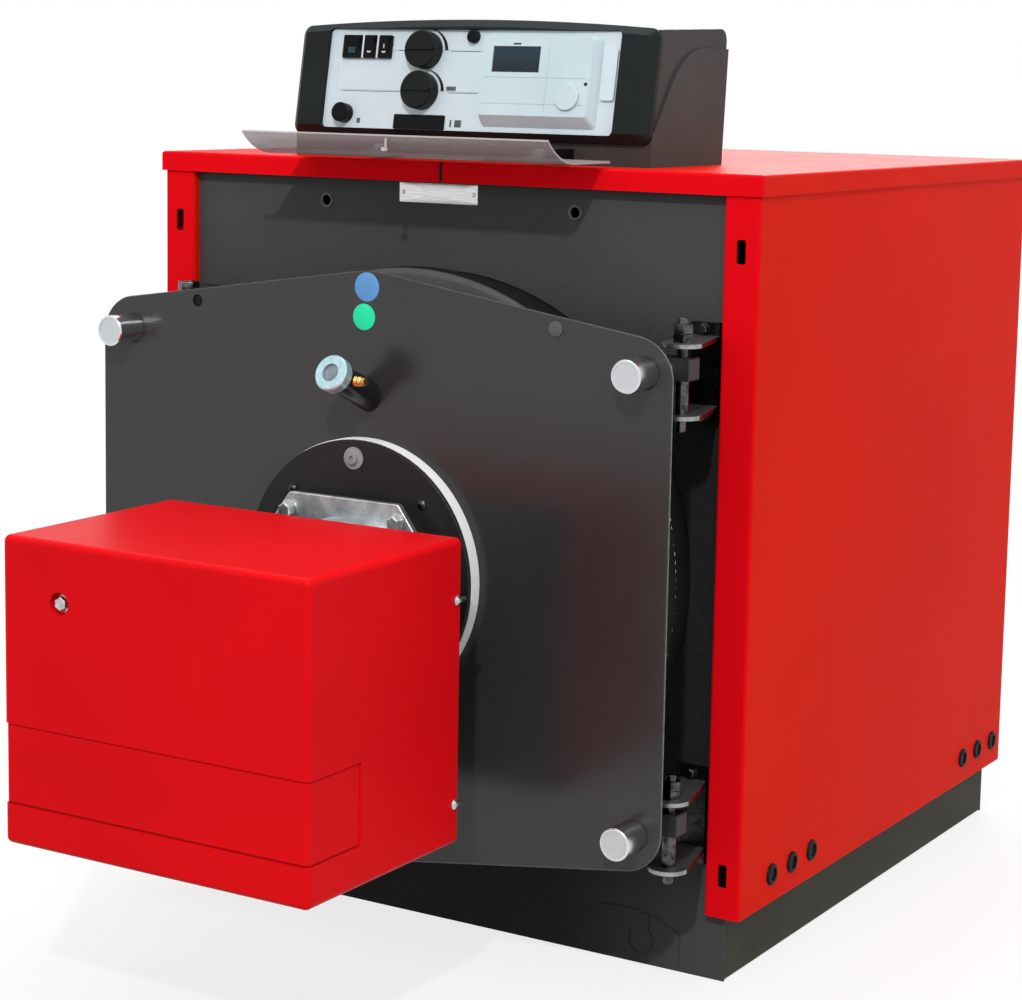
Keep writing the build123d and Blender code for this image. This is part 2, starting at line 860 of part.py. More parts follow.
def on_sight(shape):
    """Places a shape drawn along z on the tilted line of sight."""
    tilt = radians(sight_tilt)
    sight_z = drum_z + burner_plate_radius + sight_gap
    origin = (0, cover_front_y, sight_z)
    return Plane(origin, x_dir=(1, 0, 0), z_dir=(0, -cos(tilt), sin(tilt))) * shape


def sight_tube():
    """Peep tube tilted upwards, wider at its foot on the cover plate."""
    end = sight_length - sight_ring_length
    tube = Pos(0, 0, end / 2) * Cone(sight_foot, sight_radius, end)
    tube += Pos(0, 0, -sight_foot) * extrude(Circle(sight_foot), sight_foot)
    side = Plane((0, 0, nipple_along), x_dir=(0, 1, 0), z_dir=(1, 0, 0))
    tube -= extrude(side * Circle(nipple_radius), sight_foot)
    far = case_depth
    return on_sight(tube) - block(-far, far, cover_front_y, far, 0, case_height)


def sight_ring():
    """Screwed ring with the glass set back in its face."""
    ring = extrude(Circle(sight_ring_radius), sight_ring_length)
    ring = chamfer(ring.edges().filter_by(GeomType.CIRCLE), knob_edge)
    ring -= Pos(0, 0, sight_ring_length - sight_recess) * extrude(Circle(sight_glass_radius), sight_recess)
    return on_sight(Pos(0, 0, sight_length - sight_ring_length) * ring)


def sight_nipple():
    """Hose nipple on the side of the peep tube, with two barbs."""
    side = Plane((0, 0, nipple_along), x_dir=(0, 1, 0), z_dir=(1, 0, 0))
    stem = extrude(Circle(nipple_radius - fit_gap), nipple_length)
    barb = Cone(nipple_radius + 1, nipple_radius - 1, nipple_length / 6)
    for along in (nipple_length * 2 / 3, nipple_length * 5 / 6):
        stem += Pos(0, 0, along) * barb
    return on_sight(side * stem)


# Control box


def control_housing():
    """Housing behind the bezel: a side profile carried across, with a raised sweep on each cheek."""
    low = panel_plane.from_local_coords((0, 0, -bezel_depth))
    high = panel_plane.from_local_coords((0, bezel_height, -bezel_depth))
    rear_y = bezel_y + housing_depth_top
    top_z = case_height + housing_rise
    foot_y = bezel_y + housing_depth_foot
    points = [(low.Y, low.Z), (high.Y, high.Z), (rear_y, top_z), (foot_y, case_height), (low.Y, case_height)]
    x0 = control_x - bezel_width / 2
    plane = Plane((x0 + cheek, 0, 0), x_dir=(0, 1, 0), z_dir=(1, 0, 0))
    body = extrude(plane * make_face(Polyline(*points, close=True)), bezel_width - 2 * cheek)
    top = body.edges().filter_by(Axis.X).sort_by(Axis.Y)[-2:]
    body = fillet(top.sort_by(Axis.Z)[-1:], housing_round)
    start_z = top_z - sweep_rear_drop
    start_y = rear_y + (foot_y - rear_y) * sweep_rear_drop / housing_rise
    turn = (start_y - sweep_flat, start_z)
    toe_point = panel_plane.from_local_coords((0, sweep_foot_gap, -bezel_depth))
    toe = (toe_point.Y, toe_point.Z)
    sweep = Spline(turn, toe, tangents=[(-1, 0), (-1, -1)])
    rest = Polyline(toe, points[0], points[4], points[3], (start_y, start_z))
    outline = make_face([Line((start_y, start_z), turn), sweep] + rest.edges())
    for x in (x0, x0 + bezel_width - cheek):
        body += extrude(Plane((x, 0, 0), x_dir=(0, 1, 0), z_dir=(1, 0, 0)) * outline, cheek)
    return body


def bezel_outline():
    """Bezel front: straight sides, a bowed top edge and rounded corners."""
    w = bezel_width / 2
    h = bezel_height
    lines = [
        Line((-w, h), (-w, 0)),
        Line((-w, 0), (w, 0)),
        Line((w, 0), (w, h)),
        ThreePointArc((w, h), (0, h + bezel_bow), (-w, h)),
    ]
    face = make_face(lines)
    return fillet(face.vertices(), bezel_round)


def control_bezel():
    """Moulded frame with swept-back wings and a sunk bed for the fascia."""
    frame = extrude(bezel_outline(), bezel_depth)
    frame = Pos(0, 0, -bezel_depth) * frame
    front = frame.faces().sort_by(Axis.Z)[-1].edges()
    sides = front.filter_by(Axis.Y)
    frame = chamfer(sides, bezel_wing)
    bed_height = fascia_high - fascia_low + 2 * fit_gap
    bed = RectangleRounded(fascia_width + 2 * fit_gap, bed_height, bezel_round / 2)
    middle = (fascia_low + fascia_high) / 2
    frame -= Pos(0, middle, fascia_back) * extrude(bed, bezel_depth)
    return panel_plane * frame


def panel_line(x0, x1, v0, v1, front):
    """Fine groove between two corners on the fascia or the controller."""
    shape = Rectangle(x1 - x0, v1 - v0)
    return on_panel((x0 + x1) / 2, (v0 + v1) / 2, shape, front - line_depth, front + line_depth)


def control_fascia():
    """Pale front plate with holes for the knob shafts, fine grooves and a raised clip."""
    middle = (fascia_low + fascia_high) / 2
    plate = RectangleRounded(fascia_width, fascia_high - fascia_low, bezel_round / 2)
    fascia = on_panel(0, middle, plate, fascia_back, fascia_front)
    left = fascia_left + line_from_edge
    half = line_width / 2
    for v in (dial_knob_upper, dial_knob_lower):
        hole = Circle(knob_shaft + run_gap)
        fascia -= on_panel(dial_knob_x, v, hole, fascia_back - 1, fascia_front + 1)
        for x0, x1 in ((left, dial_knob_x - dial_knob_radius), (dial_knob_x + dial_knob_radius, module_left)):
            fascia -= panel_line(x0, x1, v - half, v + half, fascia_front)
    rise = dial_knob_lower + line_rise
    fascia -= panel_line(left - half, left + half, dial_knob_lower, rise, fascia_front)
    clip = RectangleRounded(clip_width, clip_height, clip_width / 6)
    clip_x = fascia_right - clip_from_edge
    return fascia + on_panel(clip_x, clip_v, clip, fascia_front, fascia_front + clip_rise)


def thermostat_knob(v):
    """Round knob with a narrow grip across its face, on a shaft in the fascia."""
    low = fascia_front + turn_gap
    body = extrude(Circle(dial_knob_radius), dial_knob_height)
    body = chamfer(body.faces().sort_by(Axis.Z)[-1].edges(), knob_edge)
    grip = RectangleRounded(2 * (dial_knob_radius - dial_grip_inset), dial_grip, dial_grip / 3)
    body += Pos(0, 0, dial_knob_height) * extrude(grip, grip_rise)
    knob = panel_plane * (Pos(dial_knob_x, v, low) * body)
    return knob + on_panel(dial_knob_x, v, Circle(knob_shaft), fascia_back + turn_gap, low)


def module_face(left, right, low, high, height):
    """Rounded rectangle of the controller at a height above the bezel's front plane."""
    face = RectangleRounded(right - left, high - low, module_round)
    return Pos((left + right) / 2, (low + high) / 2, height) * face


def controller_module():
    """Raised controller, bevelled below and on the right, with a screen bed, grooves and a dial hole."""
    left = module_left + module_edge
    right = module_right - module_side_bevel
    low = module_low + module_foot_bevel
    high = module_high - module_edge
    foot = module_face(module_left, module_right, module_low, module_high, fascia_front)
    module = panel_plane * loft([foot, module_face(left, right, low, high, module_front)])
    bed = Rectangle(screen_width + 2 * fit_gap, screen_height + 2 * fit_gap)
    module -= on_panel(screen_x, screen_v, bed, module_front - 2 * screen_thick, module_front + 1)
    half = line_width / 2
    for v in (module_line_upper, module_line_lower):
        module -= panel_line(left + module_round, right - module_round, v - half, v + half, module_front)
    x = module_right - module_line_x
    module -= panel_line(x - half, x + half, low + module_round, high - module_round, module_front)
    hole = Circle(knob_shaft + run_gap)
    floor = fascia_front + fascia_thick
    return module - on_panel(module_dial_x, module_dial_v, hole, floor, module_front + 1)


def controller_screen():
    pane = Rectangle(screen_width, screen_height)
    low = module_front - 2 * screen_thick
    return on_panel(screen_x, screen_v, pane, low, low + screen_thick)


def controller_dial():
    """Small setting dial on a shaft in the controller."""
    low = module_front + turn_gap
    body = extrude(Circle(module_dial_radius), module_dial_height)
    body = fillet(body.faces().sort_by(Axis.Z)[-1].edges(), module_dial_height / 4)
    dial = panel_plane * (Pos(module_dial_x, module_dial_v, low) * body)
    shaft_low = fascia_front + fascia_thick + turn_gap
    return dial + on_panel(module_dial_x, module_dial_v, Circle(knob_shaft), shaft_low, low)


def rocker_switch(x, width):
    """Switch frame with a rocker pressed in at its lower half."""
    top = fascia_front + switch_rise
    plate = RectangleRounded(width, switch_height, switch_edge)
    frame = on_panel(x, switch_v, plate, fascia_front, top)
    half = switch_height / 2 - switch_rock
    origin = (x - width / 2 + switch_rock, switch_v, top)
    side = Plane(origin, x_dir=(0, 1, 0), z_dir=(1, 0, 0))
    points = [(-half, 0), (half, 0), (half, switch_rock), (0, switch_rock / 3)]
    wedge = make_face(Polyline(*points, close=True))
    return frame + panel_plane * extrude(side * wedge, width - 2 * switch_rock)


def rocker_switches():
    """One wide and two narrow switches in a row from the left edge."""
    first = fascia_left + switch_from_edge
    second = first + (switch_wide + switch_narrow) / 2 + switch_gap
    third = second + switch_narrow + switch_gap
    narrow = [rocker_switch(x, switch_narrow) for x in (second, third)]
    return [rocker_switch(first, switch_wide), *narrow]


def panel_fittings():
    """Push button, cap and dark window on the fascia."""
    button_x = fascia_left + button_from_edge
    cap_x = dial_knob_x + cap_from_knob
    button = Pos(button_x, button_v, fascia_front) * extrude(Circle(button_radius), button_height)
    button = fillet(button.faces().sort_by(Axis.Z)[-1].edges(), knob_edge)
    cap = Pos(cap_x, cap_v, fascia_front) * extrude(Circle(cap_radius), cap_height)
    cap = fillet(cap.faces().sort_by(Axis.Z)[-1].edges(), knob_edge)
    pane = RectangleRounded(window_width, window_height, knob_edge)
    window = on_panel(dial_knob_x, window_v, pane, fascia_front, fascia_front + window_thick)
    return [panel_plane * button, panel_plane * cap, window]


# Flap


def flap_hinge():
    """Two arms from the housing foot and the pin that they carry."""
    back = panel_plane.from_local_coords((0, 0, -bezel_depth)).Y
    pin = rod_x(flap_y, flap_z, flap_pin_radius, flap_x - flap_arm_x, flap_x + flap_arm_x)
    for x in (flap_x - flap_arm_x, flap_x + flap_arm_x):
        x0 = x - flap_arm_width / 2
        x1 = x + flap_arm_width / 2
        arm = block(x0, x1, flap_y, back, flap_z - flap_eye_radius, flap_z + flap_eye_radius)
        pin += arm + rod_x(flap_y, flap_z, flap_eye_radius, x0, x1)
    return pin


def control_flap():
    """Thin smoked cover, flat by its hinge and curled up at its free edge, with two eyes on the pin."""
    z = flap_z - flap_drop
    y0 = flap_y - flap_start
    y1 = y0 - flap_flat
    run = Line((y0, z), (y1, z))
    curl = CenterArc((y1, z + flap_curl_radius), flap_curl_radius, 270, -flap_curl_angle)
    section = trace(run + curl, flap_thick)
    plane = Plane((flap_x - flap_half_width, 0, 0), x_dir=(0, 1, 0), z_dir=(1, 0, 0))
    flap = extrude(plane * section, 2 * flap_half_width)
    eye_x = flap_arm_x - flap_arm_width / 2 - flap_arm_gap - flap_eye_width / 2
    for x in (flap_x - eye_x, flap_x + eye_x):
        x0 = x - flap_eye_width / 2
        x1 = x + flap_eye_width / 2
        low = z - flap_thick / 2
        flap += rod_x(flap_y, flap_z, flap_eye_radius, x0, x1)
        flap += block(x0, x1, y0 - flap_start, flap_y, low, low + 2 * flap_thick)
        flap -= rod_x(flap_y, flap_z, flap_pin_radius + run_gap, x0 - 1, x1 + 1)
    return flap


os.makedirs("parts", exist_ok=True)

put("side_panels", side_panel(), flip_x(side_panel()))
plugs = [side_plug(y) for y in plug_places()]
put("side_plugs", *plugs, *[flip_x(plug) for plug in plugs])
put("top_panels", top_panel(), flip_x(top_panel()))
put("front_panel", front_panel())
put("rear_panel", rear_panel())
put("base_rails", base_rail(), flip_x(base_rail()))
put("base_rear", base_rear())
saddle_places = (drum_start_y + saddle_offset, drum_end_y - saddle_offset)
put("drum_saddles", *[drum_saddle(y) for y in saddle_places])
put("boiler_drum", boiler_drum())
put("drum_rear_plate", drum_rear_plate())
put("door_frame_ring", door_frame_ring())
put("tube_plate", tube_plate())
put("furnace_tube", furnace_tube())
put("smoke_tube_ends", *smoke_tube_ends())
put("flue_outlet", flue_outlet())
put("pipe_connections", top_connection(flow_y), top_connection(return_y))
put("drain_connection", drain_connection())
put("hinge_brackets", *[hinge_bracket(z) for z in arm_heights])
put("hinge_pins", *[threaded_pin(hinge_x, z, 0) for z in arm_heights])
put("latch_brackets", *[latch_bracket(z) for z in arm_heights])
put("latch_bolts", *[flip_x(threaded_pin(latch_x, z, nut_slack)) for z in arm_heights])
put("door_disc", door_disc())
put("door_seal", door_seal())
put("door_insulation", door_insulation())
put("cross_bars", *[cross_bar(z) for z in arm_heights])
put("door_cover", door_cover())
put("cover_knobs", *[cover_knob(x, z) for x in (-knob_x, knob_x) for z in arm_heights])
put("sight_tube", sight_tube())
put("sight_ring", sight_ring())
put("sight_nipple", sight_nipple())
put("burner_neck", burner_neck())
put("burner_gasket", burner_gasket())
put("burner_plate", burner_plate())
put("burner_flange", burner_flange())
put("blast_tube", blast_tube())
put("burner_body", burner_body())
put("burner_hood", burner_hood())
put("control_housing", control_housing())
put("control_bezel", control_bezel())
put("control_fascia", control_fascia())
put("thermostat_knob_upper", thermostat_knob(dial_knob_upper))
put("thermostat_knob_lower", thermostat_knob(dial_knob_lower))
put("controller_module", controller_module())
put("controller_screen", controller_screen())
put("controller_dial", controller_dial())
put("rocker_switches", *rocker_switches())
put("panel_fittings", *panel_fittings())
put("flap_hinge", flap_hinge())
put("control_flap", control_flap())
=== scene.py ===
import bmesh
import bpy
import numpy as np
from mathutils import Matrix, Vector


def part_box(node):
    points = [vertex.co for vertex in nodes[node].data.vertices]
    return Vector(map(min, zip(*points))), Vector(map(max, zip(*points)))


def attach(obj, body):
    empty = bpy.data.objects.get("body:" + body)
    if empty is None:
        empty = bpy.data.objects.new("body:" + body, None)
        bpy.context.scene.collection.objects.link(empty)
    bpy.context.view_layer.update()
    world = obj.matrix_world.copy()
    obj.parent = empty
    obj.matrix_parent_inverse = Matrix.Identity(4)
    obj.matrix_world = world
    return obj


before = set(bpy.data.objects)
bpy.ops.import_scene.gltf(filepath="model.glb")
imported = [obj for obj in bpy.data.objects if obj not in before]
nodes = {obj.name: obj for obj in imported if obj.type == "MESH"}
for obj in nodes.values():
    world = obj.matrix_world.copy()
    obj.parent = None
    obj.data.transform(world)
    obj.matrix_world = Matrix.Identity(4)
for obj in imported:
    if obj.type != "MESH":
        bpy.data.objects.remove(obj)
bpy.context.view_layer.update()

scene = bpy.context.scene
scene.view_settings.view_transform = "Standard"
mm = 0.001
print("frame loaded:", len(nodes), "nodes")


# camera and studio

view = dict(
    place=(1.5368, -2.5648, 0.9928),  # metres, in the part's frame
    azimuth=31.306,
    elevation=7.985,
    roll=1.037,
    lens=87.48,
    shiftY=-0.0783,
)


# a camera or lamp at its place, by the directions of its own axes
def stand(thing, at, x, y, z):
    turn = Matrix(np.column_stack([x, y, z]).tolist()).to_4x4()
    thing.matrix_world = Matrix.Translation(at) @ turn
    scene.collection.objects.link(thing)


def aimCamera():
    az, el, roll = np.radians([view["azimuth"], view["elevation"], view["roll"]])
    back = np.array([np.sin(az) * np.cos(el), -np.cos(az) * np.cos(el), np.sin(el)])
    right = np.cross(-back, (0, 0, 1))
    right /= np.linalg.norm(right)
    up = np.cross(right, -back)
    x = np.cos(roll) * right + np.sin(roll) * up
    y = np.cos(roll) * up - np.sin(roll) * right
    data = bpy.data.cameras.new("photoView")
    data.lens = view["lens"]
    data.shift_y = view["shiftY"]
    data.clip_end = 60
    camera = bpy.data.objects.new("photoView", data)
    stand(camera, view["place"], x, y, back)
    scene.camera = camera


aimCamera()

lamps = dict(
    key=dict(at=(1.57, -3.62, 3.45), to=(0, -0.3, 0.5), size=0.14, power=98),
    side=dict(at=(3.8, -0.6, 2.0), to=(0.3, 0, 0.5), size=2.2, power=14),
    top=dict(at=(-0.3, 0.3, 4.0), to=(0, 0.1, 0.6), size=2.6, power=34),
    rear=dict(at=(-1.4, 3.8, 2.6), to=(0, 0.3, 0.5), size=2.4, power=90),
)


def addLamp(name, at, to, size, power):
    data = bpy.data.lights.new(name, "AREA")
    data.size = size
    data.energy = power
    lamp = bpy.data.objects.new(name, data)
    toward = np.subtract(to, at) / np.linalg.norm(np.subtract(to, at))
    side = np.cross(toward, (0, 0, 1))
    side /= np.linalg.norm(side)
    stand(lamp, at, side, np.cross(side, toward), -toward)


for name, values in lamps.items():
    addLamp(name, **values)
print("camera and", len(lamps), "lamps placed")


# shader maths: one socket of a tree, on which sums and products of values add Math nodes

class Sock:
    def __init__(self, tree, socket=None):
        self.tree = tree
        self.socket = socket

    # any node: its type, its settings, then its sockets by name or number
    def node(self, kind, settings=None, sockets=None, out=0):
        made = self.tree.nodes.new("ShaderNode" + kind)
        for key, value in (settings or {}).items():
            setattr(made, key, value)
        for key, value in (sockets or {}).items():
            if isinstance(value, Sock):
                self.tree.links.new(value.socket, made.inputs[key])
            else:
                made.inputs[key].default_value = value
        return Sock(self.tree, made.outputs[out] if len(made.outputs) else None)

    def math(self, operation, a, b=0.0):
        return self.node("Math", {"operation": operation}, {0: a, 1: b})

    def __add__(self, other):
        return self.math("ADD", self, other)

    def __radd__(self, other):
        return self.math("ADD", other, self)

    def __sub__(self, other):
        return self.math("SUBTRACT", self, other)

    def __rsub__(self, other):
        return self.math("SUBTRACT", other, self)

    def __mul__(self, other):
        return self.math("MULTIPLY", self, other)

    def __rmul__(self, other):
        return self.math("MULTIPLY", other, self)

    def __truediv__(self, other):
        return self.math("DIVIDE", self, other)

    def __rtruediv__(self, other):
        return self.math("DIVIDE", other, self)

    def __pow__(self, other):
        return self.math("POWER", self, other)

    def __gt__(self, other):
        return self.math("GREATER_THAN", self, other)

    def __lt__(self, other):
        return self.math("LESS_THAN", self, other)

    def __abs__(self):
        return self.math("ABSOLUTE", self)

    def sine(self):
        return self.math("SINE", self)

    def most(self, other):
        return self.math("MAXIMUM", self, other)

    # 0 below low, 1 above high
    def step(self, low, high):
        return self.node("MapRange", {"interpolation_type": "SMOOTHSTEP"}, {0: self, 1: low, 2: high})


def startMaterial(name):
    material = bpy.data.materials.new(name)
    material.use_nodes = True
    tree = material.node_tree
    tree.nodes.clear()
    return material, Sock(tree)


def tone(level):
    return (*level, 1.0) if isinstance(level, tuple) else (level, level, level, 1.0)


def shaded(colour, share):
    return tuple(share * c for c in colour)


def place(s):
    return s.node("TexCoord", out="Object")


def axes(s):
    split = s.node("SeparateXYZ", sockets={0: place(s)}).socket.node
    return [Sock(s.tree, socket) for socket in split.outputs]


def awayFrom(x, y):
    return (x * x + y * y) ** 0.5


def stretched(s, scale):
    return s.node("Mapping", sockets={"Vector": place(s), "Scale": scale})


def noise(s, scale, detail=3.0, rough=0.55, vector=None):
    sockets = {"Vector": vector or place(s), "Scale": scale, "Detail": detail, "Roughness": rough}
    return s.node("TexNoise", sockets=sockets)


# soft-edged patches, 0 to 1
def patches(s, scale, detail=4.0):
    return noise(s, scale, detail).step(0.3, 0.7)


# a pattern of 0 to 1 carried over to a span of values
def spread(span, pattern):
    low, high = span
    return low + pattern * (high - low)


def mixTone(s, factor, a, b):
    a, b = [value if isinstance(value, Sock) else tone(value) for value in (a, b)]
    return s.node("Mix", {"data_type": "RGBA"}, {0: factor, 6: a, 7: b}, out=2)


# depth in millimetres
def bump(s, height, strength, depth, under=None):
    sockets = {"Strength": strength, "Distance": depth * mm, "Height": height}
    if under:
        sockets["Normal"] = under
    return s.node("Bump", sockets=sockets)


def finishMaterial(material, s, sockets):
    bsdf = s.node("BsdfPrincipled", sockets=sockets)
    s.node("OutputMaterial", sockets={"Surface": bsdf})
    return material


# what the camera, mirrors and glass see, as 1, against 0 for the light on matt surfaces
def seenRay(s):
    path = s.node("LightPath").socket.node
    rays = ("Is Camera Ray", "Is Glossy Ray", "Is Transmission Ray")
    camera, glossy, through = [Sock(s.tree, path.outputs[ray]) for ray in rays]
    return camera.most(glossy).most(through)


# floor and backdrop: white to the camera, with the object's shadow kept near it

floorLook = dict(
    reach=14.0, seen=0.86, bounce=0.3, clear=0.78, fadeFrom=0.9, fadeTo=2.2, glow=1.0, ambient=0.8,
)


def makeFloor():
    reach = floorLook["reach"]
    u, v = np.meshgrid(np.linspace(-reach, reach, 3), np.linspace(-reach, reach, 3))
    points = np.stack([u, v, np.zeros_like(u)], -1).reshape(-1, 3)
    mesh = bpy.data.meshes.new("studioFloor")
    mesh.from_pydata(points.tolist(), [], [(0, 1, 4, 3), (1, 2, 5, 4), (3, 4, 7, 6), (4, 5, 8, 7)])
    floor = bpy.data.objects.new("studioFloor", mesh)
    scene.collection.objects.link(floor)
    material, s = startMaterial("floorPaper")
    x, y, _ = axes(s)
    away = awayFrom(x, y).step(floorLook["fadeFrom"], floorLook["fadeTo"])
    seen = seenRay(s)
    grey = spread((floorLook["bounce"], floorLook["seen"]), seen)
    paper = s.node("BsdfDiffuse", sockets={"Color": mixTone(s, grey, 0.0, 1.0)})
    glow = s.node("Emission", sockets={"Color": tone(1.0), "Strength": floorLook["glow"]})
    factor = seen * spread((floorLook["clear"], 1), away)
    surface = s.node("MixShader", sockets={0: factor, 1: paper, 2: glow})
    s.node("OutputMaterial", sockets={"Surface": surface})
    mesh.materials.append(material)


makeFloor()

world = bpy.data.worlds.new("studioWorld")
scene.world = world
world.use_nodes = True
world.node_tree.nodes.clear()
sky = Sock(world.node_tree)
skyLevel = spread((floorLook["ambient"], 1), seenRay(sky))
backdrop = sky.node("Background", sockets={"Color": tone(1.0), "Strength": skyLevel})
sky.node("OutputWorld", sockets={"Surface": backdrop})
print("floor and backdrop made")


# sprayed finishes: a broad drift of shade, a fine speckle and the skin's orange peel; behind the front
# edge the faces may take a tone of their own as painted light and shade, painted shade may darken one
# end, and a painted shadow may lie as a line above a ledge

stickerPaint = dict(
    drift=60.0, speckle=2500, speck=0.06, peel=1500, peelStrength=0.05, rough=(0.3, 0.36), specular=0.3,
)
paints = dict(
    redPaint=dict(
        tone=(0.84, 0.0032, 0.0085), shade=(0.76, 0.0029, 0.0078), drift=2.2, speckle=900,
        speck=0.05, peel=420, peelStrength=0.12, rough=(0.38, 0.48), specular=0.02,
        # painted light and shade: the faces behind the front edge darker and more orange than the front
        flank=(0.8, 0.016, 0.0045), flankFrom=-0.1955,
    ),
    hoodPaint=dict(
        tone=(0.76, 0.0042, 0.0075), shade=(0.68, 0.0036, 0.0068), drift=4.0, speckle=1400,
        speck=0.03, peel=700, peelStrength=0.08, rough=(0.32, 0.4), specular=0.05,
        # painted shadow: a dark line on the recessed band just above the ledge
        ledge=dict(z=0.237, rise=2.4, before=-0.6245, dark=0.45),
    ),
    panelPaint=dict(
        tone=(0.066, 0.0665, 0.066), shade=(0.056, 0.0565, 0.056), drift=3.0, speckle=1500,
        speck=0.4, peel=1100, peelStrength=0.12, rough=(0.4, 0.5), specular=0.05,
        # painted shade: darker towards the bottom, with the foot of the right side left lighter as
        # painted light
        soot=dict(axis=2, full=0.6, none=0.79, dark=0.25, corner=(0.14, 0.36), low=(0.06, 0.24)),
    ),
    coverPaint=dict(
        tone=(0.027, 0.0275, 0.0273), shade=(0.0215, 0.022, 0.0218), drift=3.0, speckle=1600,
        speck=0.35, peel=1300, peelStrength=0.05, rough=(0.2, 0.27), specular=0.44,  # satin sheen
    ),
    platePaint=dict(
        tone=(0.013, 0.013, 0.0135), shade=(0.009, 0.009, 0.0095), drift=8.0, speckle=1100,
        speck=0.3, peel=800, peelStrength=0.12, rough=(0.42, 0.52), specular=0.25,
    ),
    ovenPaint=dict(
        tone=(0.022, 0.022, 0.0225), shade=(0.014, 0.014, 0.0145), drift=6.0, speckle=1100,
        speck=0.3, peel=800, peelStrength=0.15, rough=(0.38, 0.5), specular=0.4,
    ),
    basePaint=dict(
        tone=(0.021, 0.0205, 0.02), shade=(0.014, 0.0136, 0.013), drift=5.0, speckle=800,
        speck=0.3, peel=500, peelStrength=0.15, rough=(0.46, 0.6), specular=0.08,
        # painted shade: the fronts darker towards the left; painted light: the faces behind the front
        # edge lighter and browner
        soot=dict(axis=0, full=-0.05, none=0.34, dark=0.22), flank=(0.046, 0.042, 0.028),
        flankFrom=-0.182,
    ),
    primerPaint=dict(
        tone=(0.05, 0.048, 0.046), shade=(0.034, 0.032, 0.031), drift=9.0, speckle=600, speck=0.25,
        peel=350, peelStrength=0.2, rough=(0.5, 0.66), specular=0.35,
    ),
    sightPaint=dict(
        tone=(0.012, 0.012, 0.013), shade=(0.008, 0.008, 0.009), drift=20.0, speckle=1500,
        speck=0.2, peel=900, peelStrength=0.08, rough=(0.24, 0.34), specular=0.5, coat=0.2,
    ),
    washerGrey=dict(
        tone=(0.3, 0.305, 0.3), shade=(0.22, 0.225, 0.22), drift=60.0, speckle=1500, speck=0.15,
        peel=900, peelStrength=0.08, rough=(0.42, 0.54), specular=0.3,
    ),
    bluePaint=dict(stickerPaint, tone=(0.12, 0.34, 0.68), shade=(0.105, 0.31, 0.62)),
    greenPaint=dict(stickerPaint, tone=(0.016, 0.82, 0.4), shade=(0.014, 0.74, 0.36)),
)

sprayLook = dict(fleck=(0.45, 0.75), fleckGain=1.9, fleckLift=0.004, flankShade=0.9, peelDepth=0.6)


def makePaint(name, look):
    material, s = startMaterial(name)
    drift = patches(s, look["drift"])
    colour = mixTone(s, drift, look["shade"], look["tone"])
    # painted shade darkens one end of the surface
    if "soot" in look:
        soot = look["soot"]
        unshaded = axes(s)[soot["axis"]].step(soot["full"], soot["none"])
        if "corner" in soot:  # the foot of one side is left lighter: painted light where it is lit
            x, _, z = axes(s)
            unshaded = unshaded.most(x.step(*soot["corner"]) * (1 - z.step(*soot["low"])))
        colour = mixTone(s, unshaded, shaded(look["shade"], soot["dark"]), colour)
    # the faces behind the front edge take a tone of their own: painted light and shade on the sides
    if "flank" in look:
        flank = look["flank"]
        side = mixTone(s, drift, shaded(flank, sprayLook["flankShade"]), flank)
        colour = mixTone(s, axes(s)[1] > look["flankFrom"], colour, side)
    # painted shadow line just above a ledge
    if "ledge" in look:
        ledge = look["ledge"]
        _, y, z = axes(s)
        line = (z > ledge["z"]) * (z < ledge["z"] + ledge["rise"] * mm) * (y < ledge["before"])
        colour = mixTone(s, line, colour, shaded(look["shade"], ledge["dark"]))
    fleck = noise(s, look["speckle"], 2.0).step(*sprayLook["fleck"]) * look["speck"]
    pale = tuple(sprayLook["fleckGain"] * c + sprayLook["fleckLift"] for c in look["tone"])
    skin = noise(s, look["peel"], 2.0)
    return finishMaterial(material, s, {
        "Base Color": mixTone(s, fleck, colour, pale),
        "Roughness": spread(look["rough"], noise(s, look["drift"] * 5)),
        "Normal": bump(s, skin, look["peelStrength"], sprayLook["peelDepth"]),
        "Specular IOR Level": look["specular"],
        "Coat Weight": look.get("coat", 0.0),
    })


# metals: mottled tone, uneven polish and a fine cast or rolled skin; grain stretches the pattern, and
# level faces at the given heights are painted a paler matt grey, as painted light on the lit tops

